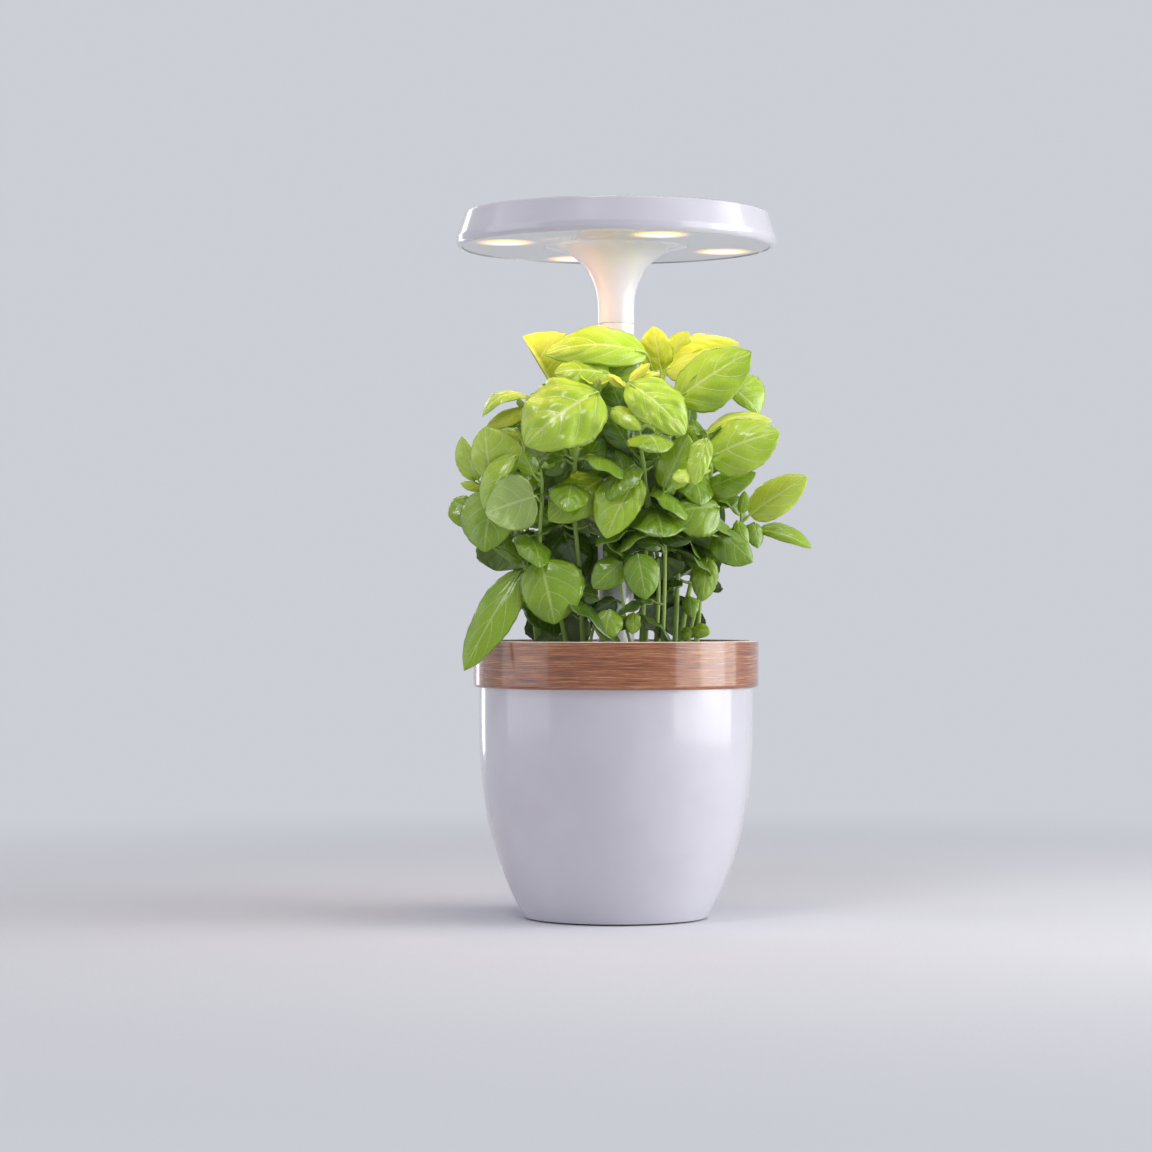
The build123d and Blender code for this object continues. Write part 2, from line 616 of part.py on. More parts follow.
def make_neck():
    bore = TUBE_R + RUN_FIT
    tall = LAMP_FACE_Z - FLARE_START_Z + NECK_WALL * 1.2
    wide = FLARE_R - COLUMN_R + NECK_WALL
    inner_top_z = FLARE_START_Z + tall * sqrt(1 - ((FLARE_R - FLANGE_INNER_R) / wide) ** 2)
    flange_z = COVER_FACE_TOP_Z + 0.1
    outer = flare_arc(0, FLARE_START_Z, LAMP_FACE_Z)
    inner = flare_arc(NECK_WALL, BEARING_TOP_Z, inner_top_z)
    inner_low, inner_high = inner @ 1, inner @ 0
    side = Polyline((bore, BEARING_TOP_Z), (bore, NECK_BOTTOM_Z), (COLUMN_R, NECK_BOTTOM_Z), outer @ 1)
    rim = Polyline(
        outer @ 0, (FLARE_R, flange_z), (FLANGE_R, flange_z), (FLANGE_R, PLATE_Z),
        (FLANGE_INNER_R, PLATE_Z), inner_high,
    )
    shelf = Line(inner_low, (bore, BEARING_TOP_Z))
    neck = turned_edges(side + outer + rim + inner + shelf)
    for place in around(4, NECK_SCREW_PCR, 45):
        neck -= place * rod(FINE_SCREW_R + FINE_SCREW_GAP, PLATE_Z - 4, PLATE_Z + 1)
    return neck


def make_lamp_top_shell():
    lip_inner = LAMP_R - LIP_WIDTH
    step_inner = lip_inner - STEP_WIDTH
    wall_top_r = LAMP_TOP_R - LAMP_WALL
    outline = make_face(Polyline(
        (0, LAMP_TOP_Z), (LAMP_TOP_R, LAMP_TOP_Z), (LAMP_R, LAMP_SIDE_Z), (LAMP_R, LAMP_LIP_Z),
        (lip_inner, LAMP_LIP_Z), (lip_inner, STEP_Z), (step_inner, STEP_Z), (step_inner, STEP_Z + STEP_T),
        (LAMP_R - LAMP_WALL - 0.5, LAMP_SIDE_Z + 1.5), (wall_top_r, CEILING_Z), (0, CEILING_Z),
        close=True,
    ))
    lip_corner = outline.vertices().sort_by_distance((LAMP_R, LAMP_LIP_Z))[0]
    outline = fillet(lip_corner, LIP_ROUND)
    top_corner = outline.vertices().sort_by_distance((LAMP_TOP_R, LAMP_TOP_Z))[0]
    outline = fillet(top_corner, TOP_ROUND)
    side_corner = outline.vertices().sort_by_distance((LAMP_R, LAMP_SIDE_Z))[0]
    outline = fillet(side_corner, LIP_ROUND)
    shell = revolve(Plane.XZ * outline, Axis.Z)
    for place in around(4, SHELL_SCREW_PCR, LENS_ANGLE + 45):
        shell += place * rod(SHELL_BOSS_R, PLATE_Z + PLATE_T, CEILING_Z + LAMP_WALL / 2)
    shell -= rod(BUTTON_R + BUTTON_GAP, CEILING_Z - 1, LAMP_TOP_Z + 1)
    for place in around(4, SHELL_SCREW_PCR, LENS_ANGLE + 45):
        shell -= place * rod(FINE_SCREW_R + FINE_SCREW_GAP, PLATE_Z, PLATE_Z + PLATE_T + 7)
    return shell


def make_under_cover():
    cover = pipe(LAMP_R - LIP_WIDTH - 0.2, FLARE_R + 0.2, LAMP_FACE_Z, COVER_FACE_TOP_Z)
    for place in around(LENS_COUNT, LENS_PCR, LENS_ANGLE):
        cover -= place * rod(LENS_R + LENS_GAP, LAMP_FACE_Z - 1, COVER_FACE_TOP_Z + 1)
    return cover


def make_led_lens():
    """A domed disc that drops into its hole from above and hangs on its flange."""
    low = LAMP_FACE_Z - LENS_DROP
    seat = LENS_SEAT_Z
    dome = crown(LENS_R + LENS_FLANGE, seat + LENS_FLANGE_T, LENS_DOME)
    rest = Polyline(
        dome @ 1, (0, low), (LENS_R - 0.5, low), (LENS_R, low + 0.5), (LENS_R, seat),
        (LENS_R + LENS_FLANGE, seat), dome @ 0,
    )
    return turned_edges(dome + rest)


def make_led_board():
    inner = SHELL_SCREW_PCR + LED_BOARD_GAP
    return pipe(LENS_PCR + LED_BOARD_REACH, inner, PLATE_Z - LED_BOARD_T, PLATE_Z)


def make_led_emitters():
    top = PLATE_Z - LED_BOARD_T
    chips = []
    for place in around(LENS_COUNT, LENS_PCR, LENS_ANGLE):
        chips.append(place * block(EMITTER_SIZE, EMITTER_SIZE, top - EMITTER_T, top))
    return Compound(children=chips)


def make_heat_plate():
    plate = pipe(PLATE_R, PLATE_HOLE_R, PLATE_Z, PLATE_Z + PLATE_T)
    for place in around(3, STUD_PCR, 90):
        plate += place * rod(STUD_R, PLATE_Z + PLATE_T / 2, CONTROL_Z)
    for place in around(4, NECK_SCREW_PCR, 45) + around(4, SHELL_SCREW_PCR, LENS_ANGLE + 45):
        plate -= place * rod(FINE_SCREW_R + 0.2, PLATE_Z - 1, PLATE_Z + PLATE_T + 1)
    return plate


def fine_screw(head_low, length, upwards):
    """A small pan-head screw: the head's seat is at a height and the shank points up or down."""
    turn = 1 if upwards else -1
    head = sorted((head_low - turn * FINE_HEAD_T, head_low))
    shank = sorted((head_low, head_low + turn * length))
    return rod(FINE_HEAD_R, *head) + rod(FINE_SCREW_R, *shank)


def make_neck_screws():
    screw = fine_screw(PLATE_Z + PLATE_T, PLATE_T + 3.5, False)
    return Compound(children=[place * screw for place in around(4, NECK_SCREW_PCR, 45)])


def make_shell_screws():
    screw = fine_screw(PLATE_Z, PLATE_T + 6, True)
    return Compound(children=[place * screw for place in around(4, SHELL_SCREW_PCR, LENS_ANGLE + 45)])


def make_control_board():
    top = CONTROL_Z + CONTROL_T
    board = rod(CONTROL_R, CONTROL_Z, top)
    board += block(SWITCH_SIZE, SWITCH_SIZE, top, top + SWITCH_H)
    board += rod(PLUNGER_R, top + SWITCH_H, top + SWITCH_H + PLUNGER_H)
    board += Pos(-10, 3, 0) * block(5, 7, top, top + 2)
    return board


def make_head_lead():
    return rod(LEAD_R, TUBE_TOP_Z - LEAD_JOINT_DROP, CONTROL_Z)


def make_power_button():
    flange_top = CEILING_Z - BUTTON_UNDER_GAP
    flange_low = flange_top - BUTTON_FLANGE_T
    top = LAMP_TOP_Z + BUTTON_PROUD
    cap = crown(BUTTON_R - 0.6, top - 0.5, 0.5)
    rest = Polyline(
        cap @ 1, (0, flange_low), (BUTTON_R + BUTTON_FLANGE, flange_low),
        (BUTTON_R + BUTTON_FLANGE, flange_top), (BUTTON_R, flange_top), (BUTTON_R, top - 0.9), cap @ 0,
    )
    return turned_edges(cap + rest)


# ---------------------------------------------------------------- basil
# A clump's stems, each a line of (x, y, z) points from the sponge upwards with its radius at foot and top.
# A leaf is (height where its stalk leaves the stem, base, tip, reach of the left and right half, direction its
# upper side faces, arch).
BASIL = {
    1: [
        ([(36, -6), (38, -8, 200), (39, -12, 228), (40, -20, 262), (44, -26, 300), (46, -26, 330)], 1.9, 0.9, [
            (304, (38, -33, 322), (83, -41, 350), (17, 18), (0.0, -0.92, 0.38), 3),
            (304, (47, -30, 309), (51, -36, 291), (5, 5), (0.2, -0.9, 0.3), 2),
            (326, (69, -12, 331), (89, -15, 313), (17, 5), (0.1, -0.95, 0.3), 5),
        ]),
        ([(38, 4), (46, 0, 205), (54, -8, 236), (58, -28, 266), (58, -38, 284), (56, -36, 299)], 1.8, 0.9, [
            (280, (57, -46, 285), (100, -52, 300), (17, 17), (0.05, -0.93, 0.36), 5),
            (296, (56, -33, 302), (96, -38, 308), (6, 9), (0.0, -0.75, 0.65), 8),
            (292, (55, -58, 296), (47, -67, 267), (6, 8), (0.0, -0.9, 0.4), 2),
            (278, (47, -62, 275), (34, -70, 271), (5, 5), (0.0, -0.9, 0.4), 1),
            (252, (63, -44, 255), (31, -52, 250), (17, 9), (-0.1, -0.93, 0.35), 4),
            (262, (54, -34, 266), (86, -40, 276), (6, 10), (0.1, -0.9, 0.4), 3),
            (234, (62, -30, 240), (84, -36, 221), (8, 13), (0.1, -0.93, 0.35), 3),
            (222, (56, -26, 224), (53, -31, 197), (8, 8), (0.1, -0.95, 0.3), 2),
            (199, (46, -10, 200), (47, -12, 187), (5, 5), (0.0, -0.95, 0.2), 1),
        ]),
        ([(42, 8), (52, 6, 200), (64, 0, 232), (82, -4, 250)], 1.6, 0.9, [
            (248, (83, -7, 251), (119, -13, 275), (11, 11), (0.1, -0.8, 0.6), 3),
            (244, (89, -6, 242), (122, -10, 230), (9, 4), (0.1, -0.85, 0.5), 4),
            (242, (86, -10, 246), (88, -14, 230), (5, 6), (0.3, -0.85, 0.3), 1),
            (246, (78, -9, 252), (80, -11, 266), (3, 4), (0.0, -0.95, 0.2), 1),
            (240, (75, -16, 247), (80, -20, 229), (5, 4), (0.1, -0.95, 0.3), 1),
        ]),
        ([(50, -6), (49, -14, 176), (48, -16, 181)], 0.9, 0.7, [
            (179, (48, -18, 181), (58, -21, 177), (5, 5), (0.1, -0.9, 0.4), 1),
            (179, (46, -17, 181), (40, -19, 173), (4, 4), (-0.1, -0.7, 0.7), 1),
        ]),
        ([(50, 7), (54, 12, 220), (54, 10, 286)], 1.6, 0.9, [
            (282, (56, 8, 292), (84, 20, 284), (14, 14), (0.5, 0.5, 0.7), 5),
            (284, (47, 4, 291), (27, 8, 302), (9, 9), (0.0, 0.2, 0.95), 4),
            (250, (57, 2, 256), (78, -2, 262), (9, 9), (0.2, -0.5, 0.85), 3),
            (228, (62, 12, 234), (84, 26, 224), (12, 12), (0.5, 0.5, 0.7), 4),
            (208, (57, 14, 214), (62, 30, 203), (9, 9), (0.5, 0.4, 0.7), 3),
        ]),
    ],
    2: [
        ([(18, 34), (22, 30, 230), (26, 14, 290), (28, 0, 338)], 1.9, 0.9, [
            (334, (30, -2, 350), (78, -6, 357), (11, 12), (0.0, -0.5, 0.87), 9),
            (334, (31, -6, 345), (45, -10, 365), (8, 8), (0.0, -0.95, 0.2), 2),
            (334, (28, -8, 341), (23, -15, 368), (11, 9), (-0.1, -0.95, 0.2), 3),
            (330, (19, -23, 350), (-44, -29, 349), (12, 20), (0.0, -0.72, 0.69), 10),
            (326, (12, -19, 349), (-39, -21, 348), (4, 5), (0.0, -0.95, 0.3), 3),
            (328, (31, -12, 341), (67, -24, 350), (9, 12), (0.0, -0.8, 0.6), 4),
            (226, (18, 38, 231), (0, 48, 214), (13, 13), (0.0, 0.9, 0.4), 3),
            (290, (30, 16, 300), (50, 24, 325), (12, 12), (0.4, 0.5, 0.7), 4),
            (256, (30, 24, 264), (58, 26, 280), (14, 14), (0.4, 0.3, 0.8), 4),
        ]),
        ([(26, 42), (30, 48, 220), (34, 50, 280), (30, 46, 320)], 1.8, 0.9, [
            (312, (34, 52, 322), (56, 60, 336), (15, 15), (0.3, 0.6, 0.75), 5),
            (316, (24, 50, 326), (-6, 58, 334), (17, 17), (0.0, 0.7, 0.7), 6),
            (286, (40, 54, 294), (74, 60, 290), (18, 18), (0.3, 0.8, 0.5), 6),
            (286, (28, 56, 294), (3, 66, 272), (19, 19), (0.0, 0.9, 0.4), 6),
            (256, (40, 54, 262), (70, 60, 248), (16, 16), (0.3, 0.85, 0.4), 5),
            (250, (26, 56, 256), (8, 66, 236), (15, 15), (0.0, 0.9, 0.4), 5),
            (226, (36, 52, 232), (60, 56, 218), (12, 12), (0.3, 0.85, 0.4), 4),
            (200, (30, 52, 206), (14, 58, 195), (9, 9), (0.0, 0.85, 0.4), 3),
        ]),
    ],
    3: [
        ([(-18, 34), (-22, 28, 230), (-30, 8, 292), (-40, -4, 324)], 1.9, 0.9, [
            (322, (-40, -8, 332), (-58, -12, 362), (1, 26), (-0.1, -0.95, 0.3), 3),
            (320, (-38, -1, 334), (-34, 4, 363), (9, 9), (0.0, -1.0, 0.1), 2),
            (288, (-34, 12, 297), (-66, 16, 314), (14, 14), (-0.4, 0.4, 0.8), 5),
            (300, (-30, 0, 308), (-27, -16, 324), (10, 10), (0.0, -0.3, 0.95), 4),
            (252, (-30, 22, 260), (-62, 26, 266), (14, 14), (-0.4, 0.3, 0.85), 4),
            (262, (-32, 12, 268), (-50, 0, 277), (10, 10), (-0.2, -0.2, 0.95), 4),
            (226, (-20, 34, 231), (-3, 46, 216), (12, 12), (0.0, 0.9, 0.4), 3),
        ]),
        ([(-26, 42), (-30, 48, 220), (-36, 50, 280), (-33, 44, 316)], 1.8, 0.9, [
            (308, (-38, 48, 316), (-61, 54, 312), (14, 14), (-0.3, 0.6, 0.75), 6),
            (312, (-30, 36, 326), (-16, 20, 349), (13, 13), (0.0, 0.3, 0.95), 4),
            (282, (-42, 54, 290), (-78, 58, 288), (18, 18), (-0.3, 0.8, 0.5), 6),
            (282, (-32, 56, 288), (-11, 66, 262), (18, 18), (0.0, 0.9, 0.4), 6),
            (252, (-40, 54, 262), (-70, 58, 250), (14, 14), (-0.3, 0.85, 0.4), 5),
            (244, (-30, 54, 250), (-12, 64, 226), (14, 14), (0.0, 0.9, 0.4), 5),
            (222, (-36, 52, 228), (-58, 54, 212), (12, 12), (-0.3, 0.85, 0.4), 4),
            (198, (-32, 50, 204), (-48, 58, 192), (10, 10), (-0.3, 0.85, 0.4), 3),
        ]),
    ],
    4: [
        ([(-42, -6), (-46, -18, 195), (-56, -34, 222), (-62, -38, 256), (-63, -38, 278)], 1.8, 0.9, [
            (216, (-58, -47, 216), (-92, -64, 155), (12, 12), (-0.15, -0.93, 0.33), 4),
            (220, (-57, -39, 222), (-80, -42, 237), (5, 9), (-0.1, -0.95, 0.3), 3),
            (262, (-74, -44, 266), (-80, -50, 227), (15, 19), (-0.2, -0.93, 0.3), 4),
            (270, (-76, -42, 272), (-80, -46, 304), (11, 20), (-0.25, -0.92, 0.3), 4),
        ]),
        ([(-46, 4), (-54, -2, 210), (-74, -16, 252), (-80, -22, 268)], 1.7, 0.9, [
            (250, (-84, -26, 254), (-104, -32, 250), (12, 12), (-0.2, -0.9, 0.4), 3),
            (266, (-85, -26, 272), (-95, -30, 299), (9, 4), (-0.3, -0.9, 0.2), 3),
            (262, (-83, -27, 268), (-96, -29, 270), (4, 2.5), (-0.1, -0.9, 0.4), 1),
            (226, (-66, 2, 244), (-92, 18, 238), (14, 14), (-0.5, 0.5, 0.7), 4),
            (208, (-60, 4, 213), (-72, 16, 201), (9, 9), (-0.5, 0.4, 0.7), 3),
        ]),
        ([(-48, -4), (-54, -8, 220), (-56, -20, 280), (-53, -30, 316)], 1.7, 0.9, [
            (312, (-54, -36, 323), (-82, -44, 310), (5, 11), (-0.1, -0.6, 0.8), 8),
            (306, (-57, -36, 315), (-80, -41, 303), (6, 5), (-0.1, -0.9, 0.4), 2),
            (300, (-58, -31, 311), (-71, -36, 306), (5, 4), (0.0, -0.9, 0.4), 1),
            (262, (-62, -4, 280), (-82, 16, 294), (13, 13), (-0.5, 0.3, 0.8), 4),
            (288, (-58, -12, 296), (-74, -2, 306), (9, 9), (-0.3, 0.0, 0.95), 4),
            (236, (-60, -4, 244), (-84, -4, 252), (10, 10), (-0.2, 0.0, 1.0), 4),
        ]),
    ],
    5: [
        ([(-20, -36), (-22, -38, 210), (-26, -40, 262), (-22, -42, 300), (-12, -42, 330)], 1.9, 0.9, [
            (318, (-11, -52, 325), (-55, -66, 291), (22, 26), (-0.15, -0.92, 0.36), 7),
            (326, (-4, -37, 337), (-38, -40, 337), (13, 15), (0.0, -0.88, 0.47), 4),
            (262, (-14, -46, 272), (-40, -54, 246), (11, 13), (-0.1, -0.93, 0.35), 4),
            (276, (-22, -36, 277), (-8, -33, 300), (9, 9), (0.0, -0.95, 0.3), 3),
            (272, (-2, -36, 280), (-19, -38, 272), (5, 5), (0.0, -0.9, 0.4), 2),
            (280, (-31, -43, 284), (-48, -46, 277), (8, 7), (0.0, -0.9, 0.3), 2),
            (236, (-32, -34, 240), (-20, -36, 211), (12, 18), (0.0, -0.97, 0.2), 3),
            (246, (-38, -42, 247), (-53, -44, 256), (8, 8), (0.0, -0.95, 0.2), 1),
        ]),
        ([(-28, -36), (-36, -40, 196), (-46, -46, 226), (-45, -50, 262), (-46, -50, 278)], 1.8, 0.9, [
            (224, (-46, -54, 222), (-37, -60, 183), (22, 15), (-0.05, -0.95, 0.25), 5),
            (258, (-49, -62, 261), (-79, -70, 250), (17, 16), (-0.1, 0.9, 0.2), 3),
            (274, (-60, -54, 286), (-80, -60, 253), (3, 12), (-0.2, -0.9, 0.3), 5),
            (270, (-50, -55, 274), (-57, -58, 288), (6, 6), (0.0, -0.95, 0.3), 2),
        ]),
        ([(-18, -42), (-14, -43, 180), (-9, -42, 196)], 1.2, 0.8, [
            (192, (-11, -42, 200), (-24, -44, 203), (6, 6), (0.0, -0.8, 0.5), 1),
        ]),
    ],
    6: [
        ([(15, -38), (17, -40, 200), (19, -42, 255), (14, -42, 300), (7, -42, 328)], 1.9, 0.9, [
            (322, (8, -48, 330), (42, -58, 298), (18, 13), (0.1, -0.9, 0.42), 6),
            (310, (-2, -50, 315), (15, -60, 301), (6, 6), (-0.1, -0.9, 0.4), 2),
            (325, (5, -44, 329), (-6, -46, 336), (4, 3), (-0.2, -0.8, 0.6), 1),
            (325, (8, -40, 331), (21, -42, 343), (4, 3.5), (0.1, -0.8, 0.6), 1),
            (325, (13, -38, 333), (27, -38, 337), (4, 4), (0.2, -0.8, 0.6), 1),
            (262, (13, -53, 273), (-6, -66, 235), (11, 18), (-0.05, -0.93, 0.36), 6),
            (216, (13, -58, 226), (18, -62, 198), (11, 10), (0.0, -0.95, 0.3), 2),
            (300, (5, -34, 312), (-6, -26, 338), (9, 9), (0.0, -1.0, 0.2), 2),
        ]),
        ([(24, -34), (26, -32, 215), (20, -30, 262), (14, -28, 288)], 1.6, 0.8, [
            (280, (12, -29, 284), (-3, -30, 308), (7, 7), (0.0, -0.95, 0.3), 3),
            (280, (15, -28, 285), (19, -27, 305), (3, 11), (0.0, -0.95, 0.3), 2),
            (268, (16, -32, 277), (0, -32, 273), (6, 6), (0.0, -1.0, 0.2), 1),
            (236, (18, -29, 246), (-8, -27, 228), (10, 10), (0.0, -1.0, 0.1), 2),
            (228, (12, -36, 234), (2, -38, 229), (4, 4), (0.0, -0.8, 0.5), 1),
        ]),
        ([(14, -44), (7, -48, 178), (4, -48, 200), (3, -48, 214)], 1.2, 0.7, [
            (210, (3, -52, 221), (-14, -54, 205), (9, 10), (0.0, -0.95, 0.3), 2),
            (188, (-4, -53, 192), (-7, -58, 173), (9, 8), (0.0, -0.95, 0.3), 2),
            (196, (0, -45, 198), (-13, -45, 191), (6, 5), (0.0, -0.95, 0.3), 1),
            (186, (11, -51, 190), (10, -54, 177), (5, 5), (0.0, -0.9, 0.4), 1),
        ]),
        ([(28, -40), (30, -42, 215), (29, -46, 262)], 1.5, 0.9, [
            (258, (29, -49, 266), (44, -51, 299), (10, 12), (0.0, -0.95, 0.3), 1),
            (230, (28, -46, 237), (46, -48, 234), (7, 6), (0.0, -0.9, 0.5), 2),
            (226, (28, -47, 231), (12, -50, 233), (5, 5), (0.0, -0.9, 0.5), 2),
        ]),
    ],
}
LEAF_OUTLINE = ((0.0, 0.0), (0.07, 0.6), (0.26, 0.95), (0.5, 1.0), (0.76, 0.68), (1.0, 0.0))
LEAF_MIDRIB = 0.9         # thickness at the midrib, thinning to the margin
LEAF_CURL = 0.22          # margins lie this share of the half width behind the midrib
STALK_WIDTH = 1.3
STALK_SINK = 0.05         # share of the leaf's length that its stalk runs into the blade
SPREAD = CUP_PCR / 44     # the plants are drawn for cups on a circle of 44 and a lamp seam at 370.5


def facet(a, b, c):
    return Face(Wire([Edge.make_line(a, b), Edge.make_line(b, c), Edge.make_line(c, a)]))


def square_stem(points, radii):
    """A square stem, as all plants of the mint family have, through points with a radius at each."""
    rings = []
    for n, point in enumerate(points):
        along = (points[min(n + 1, len(points) - 1)] - points[n - 1]).normalized() if n else Vector(0, 0, 1)
        side = along.cross(Vector(0, -1, 0.3)).normalized()
        other = along.cross(side)
        rings.append([point + side * radii[n], point + other * radii[n],
                      point - side * radii[n], point - other * radii[n]])
    faces = []
    for low, high in zip(rings, rings[1:]):
        for n in range(4):
            m = (n + 1) % 4
            faces += [facet(low[n], low[m], high[m]), facet(low[n], high[m], high[n])]
    for ring in (rings[0], rings[-1]):
        faces += [facet(ring[0], ring[1], ring[2]), facet(ring[0], ring[2], ring[3])]
    return Solid(Shell(faces))


def leaf_frame(base, tip, face):
    """Along the midrib, across the blade and out of its upper side."""
    along = (tip - base).normalized()
    up = (face - along * face.dot(along)).normalized()
    return along, along.cross(up), up


def make_blade(base, tip, reaches, face, arch):
    """A folded, arched blade: thickest at the midrib, sharp at the margins, pointed at both ends."""
    _, across, up = leaf_frame(base, tip, face)
    stations = []
    for share, half in LEAF_OUTLINE:
        middle = base + (tip - base) * share + up * (4 * arch * share * (1 - share))
        left, right = (half * reach for reach in reaches)
        thick = up * (LEAF_MIDRIB / 2 if half else 0)
        stations.append((middle - across * left - up * (LEAF_CURL * left),
                         middle + across * right - up * (LEAF_CURL * right),
                         middle + thick, middle - thick))
    faces = []
    for (l0, r0, t0, b0), (l1, r1, t1, b1) in zip(stations, stations[1:]):
        for edge0, edge1 in ((l0, l1), (r0, r1)):
            for rib0, rib1 in ((t0, t1), (b0, b1)):
                if (edge1 - rib1).length > 1e-9:
                    faces.append(facet(edge0 if (edge0 - rib0).length > 1e-9 else rib0, edge1, rib1))
                if (edge0 - rib0).length > 1e-9:
                    faces.append(facet(edge0, rib0, rib1))
    return Solid(Shell(faces))


def make_stalk(start, end):
    """A straight square stalk from the stem into the foot of the blade."""
    along = end - start
    return extrude(Plane(origin=start, z_dir=along) * Rectangle(STALK_WIDTH, STALK_WIDTH), amount=along.length)


def grown(x, y, z=159.0):
    """A point of the table, moved with the cups' circle and with the height of the lamp."""
    stretch = (SEAM_Z - SPONGE_TOP_Z) / 211.5
    return Vector(x * SPREAD, y * SPREAD, SPONGE_TOP_Z + (z - 159.0) * stretch)


def on_stem(points, z):
    """The point of a stem's line at a height."""
    for low, high in zip(points, points[1:]):
        if z <= high.Z:
            break
    return low + (high - low) * ((z - low.Z) / (high.Z - low.Z))


def make_basil(clump):
    plants = []
    for line, foot_r, top_r, leaves in clump:
        points = [grown(*point) for point in line]
        radii = [SPREAD * (foot_r + (top_r - foot_r) * n / (len(points) - 1)) for n in range(len(points))]
        plant = square_stem(points, radii)
        parts = []
        for node_z, base, tip, reaches, face, arch in leaves:
            base, tip, face = grown(*base), grown(*tip), Vector(*face)
            reaches, arch = [SPREAD * reach for reach in reaches], SPREAD * arch
            up = leaf_frame(base, tip, face)[2]
            under = base + (tip - base) * STALK_SINK + up * (4 * arch * STALK_SINK * (1 - STALK_SINK))
            parts.append(make_stalk(on_stem(points, grown(0, 0, node_z).Z), under))
            parts.append(make_blade(base, tip, reaches, face, arch))
        plants.append(plant.fuse(*parts))
    return Compound(children=[solid for plant in plants for solid in plant.solids()])


os.makedirs("parts", exist_ok=True)
save(make_outer_pot(), "outer_pot")
save(make_inlet_cup(), "inlet_cup")
save(make_tank_floor(), "tank_floor")
save(make_centre_tower(), "centre_tower")
save(make_wood_ring(), "wood_ring")
save(make_base_cover(), "base_cover")
save(make_base_screws(), "base_screws")
save(pipe(FOOT_R, FOOT_R - FOOT_WIDTH, 0, FOOT_HEIGHT), "rubber_foot")
save(make_dc_jack(), "dc_jack")
save(make_driver_board(), "driver_board")
save(make_jack_lead(), "jack_lead")
save(make_socket_lead(), "socket_lead")
save(make_column_socket(), "column_socket")
save(make_grow_deck(), "grow_deck")
cup, sponge = make_net_cup(), make_grow_sponge()
for number, place in enumerate(around(CUP_COUNT, CUP_PCR), 1):
    save(place * cup, f"net_cup_{number}")
    save(place * sponge, f"grow_sponge_{number}")
for number, clump in BASIL.items():
    save(make_basil(clump), f"basil_{number}")
save(make_float_body(), "float_body")
save(make_float_rod(), "float_rod")
save(make_float_tip(), "float_tip")
save(make_outer_tube(), "outer_tube")
save(make_column_plug(), "column_plug")
save(make_guide_bush(), "guide_bush")
save(make_inner_tube(), "inner_tube")
save(make_slider_bush(), "slider_bush")
save(make_retaining_clip(), "retaining_clip")
save(make_swivel_washer(), "swivel_washer")
save(make_coiled_lead(), "coiled_lead")
save(make_tube_lead(), "tube_lead")
save(make_neck(), "neck")
save(make_lamp_top_shell(), "lamp_top_shell")
save(make_under_cover(), "under_cover")
lens = make_led_lens()
for number, place in enumerate(around(LENS_COUNT, LENS_PCR, LENS_ANGLE), 1):
    save(place * lens, f"led_lens_{number}")
save(make_led_board(), "led_board")
save(make_led_emitters(), "led_emitters")
save(make_heat_plate(), "heat_plate")
save(make_neck_screws(), "neck_screws")
save(make_shell_screws(), "shell_screws")
save(make_control_board(), "control_board")
save(make_head_lead(), "head_lead")
save(make_power_button(), "power_button")
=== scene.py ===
"""Countertop hydroponic garden: the looks of its pot, wood ring, lamp and basil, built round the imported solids.

Lengths in the tables are millimetres, as in the part's source; make() turns them into metres. A piece is a list of
surfaces, each worked out with numpy on a grid of two parameters and joined into one mesh.
"""

import json
import math

import bpy
import numpy as np
from mathutils import Euler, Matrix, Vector


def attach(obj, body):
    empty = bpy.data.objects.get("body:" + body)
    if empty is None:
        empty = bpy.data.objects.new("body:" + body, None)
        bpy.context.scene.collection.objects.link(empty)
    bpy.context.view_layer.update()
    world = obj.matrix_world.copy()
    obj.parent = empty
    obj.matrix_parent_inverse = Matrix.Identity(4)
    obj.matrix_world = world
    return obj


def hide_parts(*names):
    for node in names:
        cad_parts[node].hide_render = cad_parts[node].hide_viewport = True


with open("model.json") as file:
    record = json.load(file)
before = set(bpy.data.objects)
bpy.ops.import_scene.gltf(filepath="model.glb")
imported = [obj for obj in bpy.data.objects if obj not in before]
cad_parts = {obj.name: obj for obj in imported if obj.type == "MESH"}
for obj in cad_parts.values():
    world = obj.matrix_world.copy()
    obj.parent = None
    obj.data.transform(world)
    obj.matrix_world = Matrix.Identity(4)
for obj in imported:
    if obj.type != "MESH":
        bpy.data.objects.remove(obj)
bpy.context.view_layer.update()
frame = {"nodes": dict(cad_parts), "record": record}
nodes = frame["nodes"]

# ---- The garden's own numbers, as in the part's source ----
CUP_COUNT, CUP_PCR = 6, 44.0
SPONGE_TOP_Z, SPONGE_FOOT_Z = 159.0, 122.0
FLOAT_TIP = (49.4, -28.5)
RING_R, RING_TOP_Z = 89.0, 172.8
LENS_PCR, LENS_ANGLE, LENS_R = 73.0, 21.3, 14.0
LAMP_FACE_Z = 418.7

